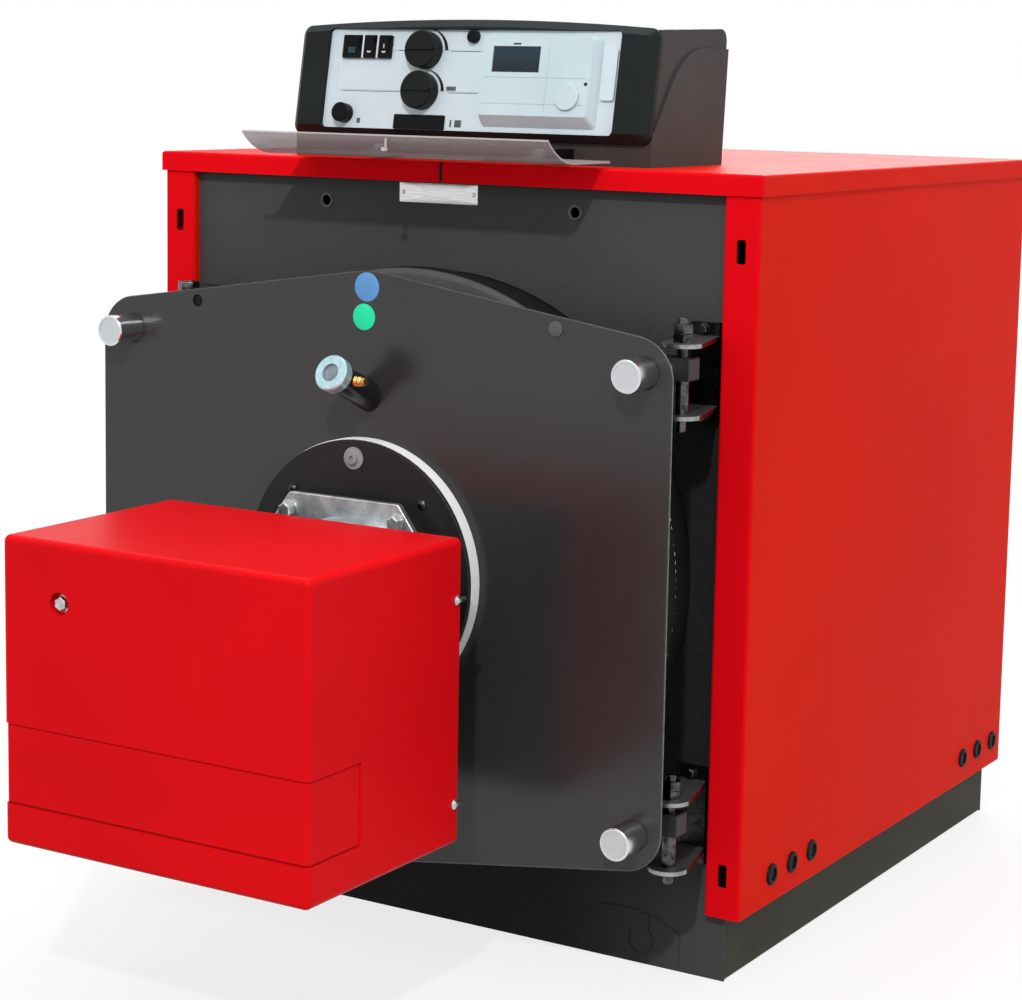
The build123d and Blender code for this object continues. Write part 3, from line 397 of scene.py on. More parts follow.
metals = dict(
    darkZinc=dict(tone=0.09, shade=0.025, spots=90, rough=(0.24, 0.42), skin=700, skinStrength=0.12),
    lugZinc=dict(
        tone=0.05, shade=0.015, spots=90, rough=(0.28, 0.46), skin=700, skinStrength=0.12,
        # painted light: the level top faces of the lugs paler and matt
        worn=0.09, wornAt=(0.7165, 0.641, 0.2265, 0.151),
    ),
    pinZinc=dict(tone=0.13, shade=0.025, spots=120, rough=(0.16, 0.32), skin=900, skinStrength=0.1),
    brightZinc=dict(tone=0.66, shade=0.42, spots=160, rough=(0.22, 0.4), skin=900, skinStrength=0.06),
    castAluminium=dict(
        tone=(0.7, 0.74, 0.75), shade=(0.45, 0.48, 0.49), spots=55, rough=(0.3, 0.52), skin=420,
        skinStrength=0.25,
    ),
    brushedPlate=dict(
        tone=0.8, shade=0.62, spots=60, grain=(1, 1, 14), rough=(0.28, 0.42), skin=900,
        skinStrength=0.05,
    ),
    # metal of the strip round the cover plate: painted highlight along its edge
    rimMetal=dict(tone=0.2, shade=0.12, spots=80, rough=(0.3, 0.45), skin=600, skinStrength=0.06),
    # metal of the bands on the lugs' edges: painted highlights along them
    edgeMetal=dict(tone=0.42, shade=0.24, spots=80, rough=(0.3, 0.45), skin=600, skinStrength=0.06),
    sootSteel=dict(
        tone=(0.16, 0.145, 0.13), shade=(0.05, 0.046, 0.042), spots=24, rough=(0.55, 0.85),
        skin=260, skinStrength=0.3,
    ),
    turnedBrass=dict(
        tone=(0.8, 0.5, 0.17), shade=(0.62, 0.36, 0.1), spots=220, grain=(4, 1, 1),
        rough=(0.18, 0.34), skin=1500, skinStrength=0.05,
    ),
)

topLightAndSkinLook = dict(reach=0.3, least=0.6, dull=0.8, skinDepth=0.8)


def makeMetal(name, look):
    material, s = startMaterial(name)
    vector = stretched(s, look.get("grain", (1, 1, 1)))
    spots = noise(s, look["spots"], 5.0, 0.62, vector)
    colour = mixTone(s, spots.step(0.32, 0.68), look["shade"], look["tone"])
    metallic = 1.0
    # painted light: level faces at the given heights paler and matt
    if "wornAt" in look:
        z = axes(s)[2]
        levels = [abs(z - height) < topLightAndSkinLook["reach"] * mm for height in look["wornAt"]]
        worn = sum(levels[1:], levels[0]) * spread((topLightAndSkinLook["least"], 1), spots)
        colour = mixTone(s, worn, colour, look["worn"])
        metallic = 1 - topLightAndSkinLook["dull"] * worn
    skin = noise(s, look["skin"], 3.0, 0.6, vector)
    return finishMaterial(material, s, {
        "Base Color": colour,
        "Roughness": spread(look["rough"], noise(s, look["spots"] * 2.3, 4.0, 0.6, vector)),
        "Normal": bump(s, skin, look["skinStrength"], topLightAndSkinLook["skinDepth"]),
        "Metallic": metallic,
    })


# moulded plastics, rubber and inks: spark-eroded grain, faint drift of tone

ink = dict(grain=2200, grainStrength=0.03, specular=0.3)
plastics = dict(
    bezelPlastic=dict(
        tone=(0.008, 0.012, 0.012), shade=(0.006, 0.009, 0.009), grain=1500, grainStrength=0.12,
        rough=(0.45, 0.55), specular=0.15,
    ),
    housingPlastic=dict(
        tone=(0.044, 0.043, 0.04), shade=(0.034, 0.033, 0.031), grain=1300, grainStrength=0.2,
        rough=(0.45, 0.58), specular=0.22,
    ),
    fasciaPlastic=dict(
        tone=(0.62, 0.71, 0.76), shade=(0.57, 0.66, 0.71), grain=1900, grainStrength=0.06,
        rough=(0.34, 0.44), specular=0.35,
    ),
    modulePlastic=dict(
        tone=(0.55, 0.68, 0.72), shade=(0.51, 0.63, 0.67), grain=1900, grainStrength=0.05,
        rough=(0.32, 0.42), specular=0.35,
    ),
    knobPlastic=dict(
        tone=(0.008, 0.01, 0.01), shade=(0.006, 0.0075, 0.0075), grain=1700, grainStrength=0.1,
        rough=(0.34, 0.44), specular=0.14,
    ),
    switchPlastic=dict(
        tone=(0.005, 0.005, 0.006), shade=(0.003, 0.003, 0.004), grain=1700, grainStrength=0.05,
        rough=(0.26, 0.36), specular=0.1,
    ),
    plugRubber=dict(
        tone=(0.008, 0.008, 0.01), shade=(0.005, 0.005, 0.006), grain=900, grainStrength=0.15,
        rough=(0.45, 0.6), specular=0.12,
    ),
    greyPlastic=dict(
        tone=(0.1, 0.105, 0.11), shade=(0.075, 0.08, 0.085), grain=1500, grainStrength=0.1,
        rough=(0.4, 0.5), specular=0.4,
    ),
    whiteInk=dict(ink, tone=(0.66, 0.68, 0.69), shade=(0.56, 0.58, 0.59), rough=(0.4, 0.5)),
    # grey ink of the fascia's print, also laid in its grooves as painted shade
    greyInk=dict(ink, tone=(0.1, 0.11, 0.115), shade=(0.07, 0.077, 0.08), rough=(0.4, 0.5)),
    tealLens=dict(
        tone=(0.01, 0.05, 0.06), shade=(0.008, 0.038, 0.046), grain=1200, grainStrength=0.05,
        rough=(0.16, 0.24), specular=0.3,
    ),
    blackInk=dict(ink, tone=(0.01, 0.011, 0.012), shade=(0.006, 0.007, 0.008), rough=(0.35, 0.45)),
)

mouldLook = dict(patch=14.0, polish=120.0, grainDepth=0.4)


def makePlastic(name, look):
    material, s = startMaterial(name)
    return finishMaterial(material, s, {
        "Base Color": mixTone(s, patches(s, mouldLook["patch"]), look["shade"], look["tone"]),
        "Roughness": spread(look["rough"], noise(s, mouldLook["polish"])),
        "Normal": bump(s, noise(s, look["grain"], 1.0), look["grainStrength"], mouldLook["grainDepth"]),
        "Specular IOR Level": look["specular"],
    })


# turned satin metal: rings of the lathe tool about the four knob axes, folded onto one by the absolute
# values; the round side is polished bright

knobLook = dict(
    tone=(0.62, 0.66, 0.68), groove=(0.52, 0.56, 0.58), ringsPerMm=0.9, breakUp=300.0, polish=240.0,
    rough=(0.32, 0.42), metal=0.45, strength=0.06, depth=0.2, radius=17.5,
    side=(0.70, 0.73, 0.75), sideFrom=15.2, sideTo=15.6, sideRough=0.26,
)


def makeTurned(name, look):
    material, s = startMaterial(name)
    x, _, z = axes(s)
    folded = "cover_knobs"
    low, high = [np.array(corner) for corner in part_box(folded)]
    middle, reach = (low + high) / 2, (high - low) / 2
    across, up = reach[0] - look["radius"] * mm, reach[2] - look["radius"] * mm
    away = awayFrom(abs(x - middle[0]) - across, abs(z - middle[2]) - up)
    rings = (away * (look["ringsPerMm"] * 2 * np.pi / mm)).sine() * 0.5 + 0.5
    side = away.step(look["sideFrom"] * mm, look["sideTo"] * mm)
    marks = rings * noise(s, look["breakUp"]).step(0.2, 0.8)
    colour = mixTone(s, marks, look["tone"], look["groove"])
    rough = spread(look["rough"], noise(s, look["polish"]))
    return finishMaterial(material, s, {
        "Base Color": mixTone(s, side, colour, look["side"]),
        "Roughness": rough + side * (look["sideRough"] - look["rough"][1]),
        "Metallic": spread((look["metal"], 1), side),
        "Normal": bump(s, rings, look["strength"], look["depth"]),
    })


# bright nickel of the sight glass ring, with a cool tint and a fine knurl along it

ringLook = dict(
    tone=(0.53, 0.76, 0.83), shade=(0.42, 0.62, 0.69), patch=140.0, polish=260.0, rough=(0.22, 0.36),
    metal=0.55, knurl=900.0, strength=0.08, depth=0.5,
)


def makeRingMetal(name, look):
    material, s = startMaterial(name)
    return finishMaterial(material, s, {
        "Base Color": mixTone(s, patches(s, look["patch"]), look["shade"], look["tone"]),
        "Roughness": spread(look["rough"], noise(s, look["polish"])),
        "Metallic": look["metal"],
        "Normal": bump(s, noise(s, look["knurl"]), look["strength"], look["depth"]),
    })


# galvanised sheet: crystals of zinc, each with its own grey and polish

spangleLook = dict(
    cells=80, tone=0.56, shade=0.45, frost=500.0, frostShare=0.25, blend=(0.1, 1.0), rough=(0.3, 0.5),
    metal=0.9, strength=0.06, depth=0.5,
)


def makeSpangle(name, look):
    material, s = startMaterial(name)
    cells = {"Vector": place(s), "Scale": look["cells"]}
    grey = s.node("RGBToBW", sockets={0: s.node("TexVoronoi", sockets=cells, out="Color")})
    crystals = grey + noise(s, look["frost"]) * look["frostShare"]
    return finishMaterial(material, s, {
        "Base Color": mixTone(s, crystals.step(*look["blend"]), look["shade"], look["tone"]),
        "Roughness": spread(look["rough"], grey),
        "Metallic": look["metal"],
        "Normal": bump(s, grey, look["strength"], look["depth"]),
    })


# door disc: oven paint on the flat face, painted dark where the rim rolls over and on its side, as
# painted shade

discLook = dict(
    tone=0.10, shade=0.082, patch=6.0, rim=0.010, rimFrom=0.3288, rimTo=0.3298, polish=30.0,
    rough=(0.4, 0.5), rimRough=0.85, specular=0.18, skin=800.0, strength=0.15, depth=0.6,
)


def makeDisc(name, look):
    material, s = startMaterial(name)
    x, _, z = axes(s)
    low, high = [np.array(corner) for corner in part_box("door_disc")]
    # painted shade: the outer edge of the rolled rim and the side are dark
    rim = awayFrom(x, z - (low[2] + high[2]) / 2).step(look["rimFrom"], look["rimTo"])
    colour = mixTone(s, patches(s, look["patch"]), look["shade"], look["tone"])
    rough = spread(look["rough"], noise(s, look["polish"]))
    return finishMaterial(material, s, {
        "Base Color": mixTone(s, rim, colour, look["rim"]),
        "Roughness": rough + rim * (look["rimRough"] - look["rough"][1]),
        "Specular IOR Level": look["specular"],
        "Normal": bump(s, noise(s, look["skin"], 2.0), look["strength"], look["depth"]),
    })


# braided glass rope: two crossing sets of diagonal strands about the door's axis

ropeLook = dict(
    tone=(0.70, 0.68, 0.62), gap=(0.34, 0.32, 0.28), strands=190, slant=520, braid=(-0.2, 0.9),
    fuzz=800.0, fuzzSpan=(0.7, 1.0), rough=0.9, strength=0.6, depth=1.0,
)


def makeRope(name, look):
    material, s = startMaterial(name)
    x, _, z = axes(s)
    low, high = [np.array(corner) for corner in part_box("door_seal")]
    middle = (low + high) / 2
    turn = s.math("ARCTAN2", z - middle[2], x - middle[0]) * look["strands"]
    slant = awayFrom(x - middle[0], z - middle[2]) * look["slant"]
    braid = (turn + slant).sine().most((turn - slant).sine()).step(*look["braid"])
    fuzzy = braid * spread(look["fuzzSpan"], noise(s, look["fuzz"]))
    return finishMaterial(material, s, {
        "Base Color": mixTone(s, fuzzy, look["gap"], look["tone"]),
        "Roughness": look["rough"],
        "Normal": bump(s, braid, look["strength"], look["depth"]),
    })


# cast refractory and pressed fibre: pores, aggregate and stains

stones = dict(
    refractoryCast=dict(
        tone=(0.5, 0.44, 0.35), shade=(0.32, 0.27, 0.21), pit=(0.12, 0.1, 0.08), pores=260,
        cover=0.16, blotch=7.0, rough=0.92,
    ),
    whiteFibre=dict(
        tone=(0.98, 0.98, 0.965), shade=(0.94, 0.94, 0.925), pit=(0.84, 0.83, 0.8), pores=420,
        cover=0.06, blotch=30.0, rough=0.85,
    ),
)

stoneLook = dict(
    poreBlend=0.12, poreShare=0.8, poreStrength=0.4, poreDepth=0.6,
    rubble=320.0, rubbleStrength=0.2, rubbleDepth=1.0, specular=0.2,
)


def makeStone(name, look):
    material, s = startMaterial(name)
    colour = mixTone(s, patches(s, look["blotch"], 5.0), look["shade"], look["tone"])
    cells = {"Vector": place(s), "Scale": look["pores"]}
    pores = s.node("TexVoronoi", sockets=cells, out="Distance")
    holes = 1 - pores.step(look["cover"], look["cover"] + stoneLook["poreBlend"])
    rubble = noise(s, stoneLook["rubble"], 4.0)
    under = bump(s, rubble, stoneLook["rubbleStrength"], stoneLook["rubbleDepth"])
    return finishMaterial(material, s, {
        "Base Color": mixTone(s, holes * stoneLook["poreShare"], colour, look["pit"]),
        "Roughness": look["rough"],
        "Specular IOR Level": stoneLook["specular"],
        "Normal": bump(s, 1 - holes, stoneLook["poreStrength"], stoneLook["poreDepth"], under),
    })


# display: a dim field, lighter towards the top as a painted sheen, under a clear cover

screenLook = dict(
    low=(0.010, 0.018, 0.027), high=(0.020, 0.040, 0.060), fade=1.1,
    pixel=1400, dot=(0.01, 0.014, 0.02), dotShare=0.25,
    rough=(0.22, 0.32), smear=90.0, specular=0.2, coat=(0.05, 0.15), coatPatch=30.0,
)


def makeScreen(name, look):
    material, s = startMaterial(name)
    low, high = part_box("controller_screen")
    _, _, z = axes(s)
    # painted sheen: the field grows lighter towards the top
    paintedSheenRise = ((z - low[2]) / (high[2] - low[2])).step(0.0, look["fade"])
    field = mixTone(s, paintedSheenRise, look["low"], look["high"])
    dots = noise(s, look["pixel"], 1.0) * look["dotShare"]
    return finishMaterial(material, s, {
        "Base Color": mixTone(s, dots, field, look["dot"]),
        "Roughness": spread(look["rough"], noise(s, look["smear"])),
        "Specular IOR Level": look["specular"],
        "Coat Weight": spread(look["coat"], noise(s, look["coatPatch"])),
    })


# smoked acrylic of the flap: see-through grey, a little cloudier with fine scuffs

flapLook = dict(
    tone=(0.50, 0.46, 0.465), scuff=(0.64, 0.60, 0.60), scuffScale=60.0, scuffGrain=(1, 6, 1),
    scuffShare=0.5, scuffAlpha=0.06, alpha=(0.6, 0.67), cloud=8.0, rough=(0.2, 0.35), specular=0.4,
)


def makeSmoked(name, look):
    material, s = startMaterial(name)
    grain = stretched(s, look["scuffGrain"])
    scuffs = noise(s, look["scuffScale"], 6.0, 0.7, grain).step(0.5, 0.8)
    cloudy = spread(look["alpha"], patches(s, look["cloud"]))
    return finishMaterial(material, s, {
        "Base Color": mixTone(s, scuffs * look["scuffShare"], look["tone"], look["scuff"]),
        "Roughness": spread(look["rough"], scuffs),
        "Alpha": cloudy + scuffs * look["scuffAlpha"],
        "Specular IOR Level": look["specular"],
    })


# pane of the sight glass

paneLook = dict(
    tone=(0.22, 0.27, 0.30), shade=(0.12, 0.15, 0.18), patch=90.0, rough=(0.12, 0.27), smear=200.0,
    coat=0.5,
)


def makePane(name, look):
    material, s = startMaterial(name)
    return finishMaterial(material, s, {
        "Base Color": mixTone(s, patches(s, look["patch"], 5.0), look["shade"], look["tone"]),
        "Roughness": spread(look["rough"], noise(s, look["smear"])),
        "Coat Weight": look["coat"],
    })


families = (
    (makePaint, paints), (makeMetal, metals), (makePlastic, plastics), (makeStone, stones),
    (makeTurned, dict(turnedKnob=knobLook)), (makeRingMetal, dict(sightNickel=ringLook)),
    (makeSpangle, dict(galvanisedSheet=spangleLook)), (makeDisc, dict(discPaint=discLook)),
    (makeRope, dict(glassRope=ropeLook)), (makeScreen, dict(displayGlass=screenLook)),
    (makeSmoked, dict(smokedAcrylic=flapLook)), (makePane, dict(sightPane=paneLook)),
)
materials = {name: make(name, look) for make, looks in families for name, look in looks.items()}

finishes = dict(
    redPaint=["side_panels", "top_panels"],
    hoodPaint=["burner_hood"],
    panelPaint=["front_panel"],
    coverPaint=["door_cover"],
    discPaint=["door_disc"],
    platePaint=["burner_plate", "door_frame_ring"],
    ovenPaint=["boiler_drum", "drum_rear_plate", "cross_bars", "burner_neck"],
    basePaint=["base_rails", "base_rear", "drum_saddles"],
    primerPaint=["flue_outlet", "pipe_connections", "drain_connection"],
    sightPaint=["sight_tube"],
    lugZinc=["hinge_brackets", "latch_brackets"],
    pinZinc=["hinge_pins", "latch_bolts"],
    darkZinc=["flap_hinge"],
    castAluminium=["burner_flange", "burner_body"],
    sootSteel=["tube_plate", "furnace_tube", "smoke_tube_ends", "blast_tube"],
    turnedBrass=["sight_nipple"],
    bezelPlastic=["control_bezel"],
    housingPlastic=["control_housing"],
    fasciaPlastic=["control_fascia"],
    modulePlastic=["controller_module", "controller_dial"],
    knobPlastic=["thermostat_knob_upper", "thermostat_knob_lower"],
    switchPlastic=["rocker_switches", "panel_fittings"],
    plugRubber=["side_plugs"],
    turnedKnob=["cover_knobs"],
    sightNickel=["sight_ring"],
    galvanisedSheet=["rear_panel"],
    glassRope=["door_seal"],
    refractoryCast=["door_insulation"],
    whiteFibre=["burner_gasket"],
    displayGlass=["controller_screen"],
    smokedAcrylic=["control_flap"],
)
for finish, carriers in finishes.items():
    for nodeName in carriers:
        nodes[nodeName].data.materials.clear()
        nodes[nodeName].data.materials.append(materials[finish])
print("finishes:", len(materials), "materials on", sum(map(len, finishes.values())), "nodes")


# surfaces as grids of points: rows along the shape, columns round it, neighbours spanning quads

def gridFaces(rows, columns, start):
    index = np.arange(rows * columns).reshape(rows, columns) + start
    beside = np.roll(index, -1, axis=1)
    return np.stack([index[:-1], beside[:-1], beside[1:], index[1:]], -1).reshape(-1, 4)


def makePiece(name, grids, finish, body, sharp=32):
    points = np.concatenate([grid.reshape(-1, 3) for grid in grids]) * mm
    starts = np.cumsum([0] + [grid.shape[0] * grid.shape[1] for grid in grids[:-1]])
    faces = np.concatenate([gridFaces(*grid.shape[:2], start) for grid, start in zip(grids, starts)])
    mesh = bpy.data.meshes.new(name)
    mesh.from_pydata(points.tolist(), [], faces.tolist())
    shell = bmesh.new()
    shell.from_mesh(mesh)
    bmesh.ops.remove_doubles(shell, verts=shell.verts, dist=0.002 * mm)
    bmesh.ops.dissolve_degenerate(shell, edges=shell.edges, dist=0.002 * mm)
    bmesh.ops.recalc_face_normals(shell, faces=shell.faces)
    shell.to_mesh(mesh)
    shell.free()
    mesh.shade_smooth()
    mesh.set_sharp_from_angle(angle=np.radians(sharp))
    mesh.materials.append(materials[finish])
    piece = bpy.data.objects.new(name, mesh)
    scene.collection.objects.link(piece)
    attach(piece, body)
    return piece


# closed outlines in a plane, as points and outward normals

# circle: radius times (cos, sin)
def circleOutline(radius, count=40):
    turn = np.linspace(0, 2 * np.pi, count, endpoint=False)
    normal = np.stack([np.cos(turn), np.sin(turn)], -1)
    return radius * normal, normal


# hexagon: half the width across flats over the cosine of the angle from the nearest flat
def hexOutline(width, count=48):
    turn = np.linspace(0, 2 * np.pi, count, endpoint=False)
    normal = np.stack([np.cos(turn), np.sin(turn)], -1)
    fromFlat = (turn + np.pi / 6) % (np.pi / 3) - np.pi / 6
    return (width / 2 / np.cos(fromFlat))[:, None] * normal, normal


# polygon, anticlockwise, with an arc of its own radius at each corner: the arc's normals turn from one
# side's normal to the next, about a centre set in by radius / (1 + cosine of the turn) along their sum
def roundedOutline(corners, radii, count=9):
    corners = np.array(corners, float)
    radii = np.broadcast_to(np.array(radii, float), len(corners))
    side = np.roll(corners, -1, axis=0) - corners
    side /= np.linalg.norm(side, axis=1, keepdims=True)
    after = np.stack([side[:, 1], -side[:, 0]], -1)
    before = np.roll(after, 1, axis=0)
    inset = (radii / (1 + (before * after).sum(1)))[:, None]
    centre = corners - (before + after) * inset
    start = np.arctan2(before[:, 1], before[:, 0])
    swing = (np.arctan2(after[:, 1], after[:, 0]) - start + np.pi) % (2 * np.pi) - np.pi
    turn = start[:, None] + swing[:, None] * np.linspace(0, 1, count)
    normal = np.stack([np.cos(turn), np.sin(turn)], -1)
    points = centre[:, None] + radii[:, None, None] * normal
    return points.reshape(-1, 2), normal.reshape(-1, 2)


def plateOutline(halfWidth, halfHeight, radius):
    corners = np.array([(-1, -1), (1, -1), (1, 1), (-1, 1)]) * (halfWidth, halfHeight)
    return roundedOutline(corners, radius)


# planes that pieces stand on: middle, direction across, direction up; the third is outwards
def facing(middle, across=(1, 0, 0), up=(0, 0, 1)):
    across, up = np.array(across, float), np.array(up, float)
    return np.array(middle, float), across, up, np.cross(across, up)


# plane that leans back by an angle: a way up its slope and outwards from its foot
def leaning(foot, angle, rise, out):
    lean = np.radians(angle)
    up = np.array([0, np.sin(lean), np.cos(lean)])
    outward = np.array([0, -np.cos(lean), np.sin(lean)])
    return facing(np.array(foot) + rise * up + out * outward, (1, 0, 0), up)


# profile (offset from the outline, height) carried round it; an offset of None is the middle
def carried(outline, profile, plane):
    middle, across, up, outward = plane
    points, normals = outline
    offsets = np.array([np.nan if offset is None else offset for offset, _ in profile])
    heights = np.array([height for _, height in profile])
    flat = points[None] + normals[None] * offsets[:, None, None]
    flat = np.where(np.isnan(offsets)[:, None, None], 0.0, flat)
    return middle + flat[..., :1] * across + flat[..., 1:] * up + heights[:, None, None] * outward


# closed pad: flat underside, straight side and rounded upper edge
def pad(outline, height, edge, plane, crown=0.0):
    profile = [(None, 0), (-edge, 0), (0, 0), (0, height - edge), (-0.3 * edge, height - 0.3 * edge),
               (-edge, height), (None, height + crown)]
    return carried(outline, profile, plane)


# ring: outer side, rounded upper edge, inner side, closed below
def collar(outline, width, height, edge, plane):
    profile = [(-width, 0), (0, 0), (0, height - edge), (-edge, height), (edge - width, height),
               (-width, height - edge), (-width, 0)]
    return carried(outline, profile, plane)


# pads from a dictionary of values, round and square
def button(values, plane, count=40):
    outline = circleOutline(values["radius"], count)
    return pad(outline, values["thick"], values["edge"], plane, values.get("crown", 0.0))


def slab(values, plane):
    outline = plateOutline(*values["half"], values["corner"])
    return pad(outline, values["thick"], values["edge"], plane, values.get("crown", 0.0))


def lift(plane, height):
    middle, across, up, outward = plane
    return middle + height * outward, across, up, outward


def inPlane(plane, a, b):
    middle, across, up, outward = plane
    return middle + a * across + b * up, across, up, outward


# hexagon bolt on its washer: pad of the washer, hexagon with a turned top edge, a share of the width

boltLook = dict(washerThick=1.6, washerEdge=0.4, edgeIn=0.09, edgeDrop=0.08, foot=1.0)


def hexBolt(plane, width, washer, tall=0.62):
    thick, head = boltLook["washerThick"], tall * width
    hexagon = [(None, 0), (-boltLook["foot"], 0), (0, 0), (0, head - boltLook["edgeDrop"] * width),
               (-boltLook["edgeIn"] * width, head), (None, head)]
    return [pad(circleOutline(washer), thick, boltLook["washerEdge"], plane),
            carried(hexOutline(width), hexagon, lift(plane, thick))]


# socket-head screw on a broad washer: a ring with a sunk middle; rim and well are shares of the radius

socketLook = dict(
    washerThick=1.8, washerEdge=0.5,
    foot=0.3, side=3.2, edge=0.5, top=3.8, rim=0.52, well=0.58, bottom=1.2,
)


def socketScrew(plane, radius, washer):
    look = socketLook
    thick, top, bottom = look["washerThick"], look["top"], look["bottom"]
    cup = [(None, 0), (-look["foot"], 0), (0, 0), (0, look["side"]), (-look["edge"], top),
           (-look["rim"] * radius, top), (-look["well"] * radius, bottom), (None, bottom)]
    return [pad(circleOutline(washer), thick, look["washerEdge"], plane),
            carried(circleOutline(radius), cup, lift(plane, thick))]


# pan-head screw: low dome whose height falls with the square of the radius, with a sunk cross seat; all
# sizes are shares of the radius

panLook = dict(side=0.25, dome=0.55, rows=6, seat=0.32, seatIn=0.74, seatRise=0.3)


def panScrew(plane, radius):
    rise, side, seat = [panLook[key] * radius for key in ("dome", "side", "seatRise")]
    out = np.linspace(1, panLook["seat"], panLook["rows"])
    dome = [(radius * (r - 1), rise * (1 - r**2) + side) for r in out]
    profile = [(None, 0), (0, 0)] + dome + [(-panLook["seatIn"] * radius, seat), (None, seat)]
    return [carried(circleOutline(radius, 28), profile, plane)]


# section (outward, height) carried along an open arc and closed at both ends; its width changes evenly
def arcBand(plane, turnFrom, turnTo, inner, widthFrom, widthTo, height, count=28):
    middle, across, up, outward = plane
    t = np.linspace(0, 1, count)
    turn = np.radians(turnFrom + (turnTo - turnFrom) * t)
    width = widthFrom + (widthTo - widthFrom) * t
    radius = np.stack([inner + 0 * t, inner + 0 * t, inner + width, inner + width], -1)
    rise = np.broadcast_to(np.array([0, height, height, 0.0]), radius.shape)
    ray = np.cos(turn)[:, None] * across + np.sin(turn)[:, None] * up
    band = middle + radius[..., None] * ray[:, None] + rise[..., None] * outward
    ends = band[[0, -1]].mean(axis=1, keepdims=True).repeat(4, axis=1)
    return np.concatenate([ends[:1], band, ends[1:]])


def boxOf(nodeName):
    low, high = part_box(nodeName)
    return np.array(low) / mm, np.array(high) / mm


coverLow, coverHigh = boxOf("door_cover")
doorMiddle = (coverLow[2] + coverHigh[2]) / 2
coverFront = coverLow[1]
panelFront = boxOf("front_panel")[0][1]

# brighter metal strip carried round the gabled outline of the cover plate: painted highlight along its
# edge

rimLook = dict(
    proud=0.35, depth=(0.7, 2.9), bevel=0.3, cornerRadius=46, apexRadius=150, gable=55, apexCut=1.7,
)


def makeCoverRim():
    half, apex = coverHigh[0], (coverHigh[2] - coverLow[2]) / 2
    side = apex + rimLook["apexCut"] - rimLook["gable"]  # the apex is rounded off a little
    top = side + rimLook["gable"]
    corners = [(-half, -side), (0, -top), (half, -side), (half, side), (0, top), (-half, side)]
    radii = [rimLook["apexRadius"] if corner[0] == 0 else rimLook["cornerRadius"] for corner in corners]
    outline = roundedOutline(corners, radii, 24)
    near, far = rimLook["depth"]
    proud, bevel = rimLook["proud"], rimLook["bevel"]
    loop = [(0, -near), (proud, -near - bevel), (proud, bevel - far), (0, -far), (0, -near)]
    plane = facing((0, coverFront, doorMiddle))
    makePiece("cover_edge_highlight", [carried(outline, loop, plane)], "rimMetal", "door")


makeCoverRim()

# plain round stickers on the cover plate

stickerLook = dict(
    blue=dict(at=(-2.5, 757.5), radius=16.0, thick=0.6, edge=0.25),
    green=dict(at=(-6, 724.5), radius=14.5, thick=0.6, edge=0.25),
)
for colour, values in stickerLook.items():
    x, z = values["at"]
    disc = button(values, facing((x, coverFront, z)), 64)
    makePiece(colour + "_disc", [disc], colour + "Paint", "door")

# plug in the right-hand hole of the cover plate, and a black disc sunk in the left-hand one: painted
# shade in that hole

plugLook = dict(
    at=(237, 728), plug=dict(radius=8.4, thick=2.0, edge=0.9, crown=0.6),
    holeShade=dict(radius=6.9, thick=0.8, edge=0.2), holeShadeSink=2.6,
)


def makePlugs():
    x, z = plugLook["at"]
    plug = button(plugLook["plug"], facing((x, coverFront, z)))
    makePiece("cover_plug", [plug], "greyPlastic", "door")
    holeShade = button(plugLook["holeShade"], facing((-x, coverFront + plugLook["holeShadeSink"], z)))
    makePiece("cover_hole_shade_disc", [holeShade], "plugRubber", "door")


makePlugs()

# bare plate with two rivets on the front panel

plateLook = dict(
    middle=(-12, 854), half=(53, 11.5), corner=1.5, thick=0.9, edge=0.25,
    rivet=dict(radius=2.4, thick=0.7, edge=0.5, crown=0.4), rivetIn=5,
)


def makeBarePlate():
    x, z = plateLook["middle"]
    plane = facing((x, panelFront, z))
    makePiece("bare_plate", [slab(plateLook, plane)], "brushedPlate", "root")
    top = lift(plane, plateLook["thick"])
    apart = plateLook["half"][0] - plateLook["rivetIn"]
    rivets = [button(plateLook["rivet"], inPlane(top, side, 0), 24) for side in (-apart, apart)]
    makePiece("plate_rivets", rivets, "brightZinc", "root")


makeBarePlate()

# rims of the two holes in the front panel

holeLook = dict(x=168, z=840, radius=9.0, width=3.2, rise=1.4, edge=0.5)
rims = [collar(circleOutline(holeLook["radius"]), holeLook["width"], holeLook["rise"], holeLook["edge"],
               facing((way * holeLook["x"], panelFront, holeLook["z"]))) for way in (-1, 1)]
makePiece("panel_hole_rims", rims, "greyPlastic", "root")

# screws of the burner plate, its flange and the hood

burnerScrews = dict(
    top=(-4, 571), topRadius=6.5, topWasher=12.5, small=((-86, 529), (86, 529)), smallRadius=5.5,
    flange=(72, 67), flangeWidth=15.0, flangeWasher=11.0, plateThick=5.0,
)


def makeBurnerScrews():
    values = burnerScrews
    plate = facing((0, boxOf("burner_gasket")[0][1] - values["plateThick"], 0))
    top = socketScrew(inPlane(plate, *values["top"]), values["topRadius"], values["topWasher"])
    makePiece("plate_washer_screw", top, "washerGrey", "door")
    small = sum([panScrew(inPlane(plate, *at), values["smallRadius"]) for at in values["small"]], [])
    makePiece("plate_small_screws", small, "darkZinc", "door")
    flange = facing((0, boxOf("burner_flange")[0][1], doorMiddle))
    a, b = values["flange"]
    bolts = [hexBolt(inPlane(flange, i * a, j * b), values["flangeWidth"], values["flangeWasher"])
             for i in (-1, 1) for j in (-1, 1)]
    makePiece("flange_bolts", sum(bolts, []), "brightZinc", "door")


makeBurnerScrews()

hoodScrews = dict(
    well=(76, 63), wellDepth=8.0, width=13.0, washer=10.0, tall=0.44,
    hookRows=(454, 238), hookIn=6.5, hookRadius=5.5,
    shank=dict(radius=2.2, thick=14.0, edge=0.8), shankOut=1.5,
)


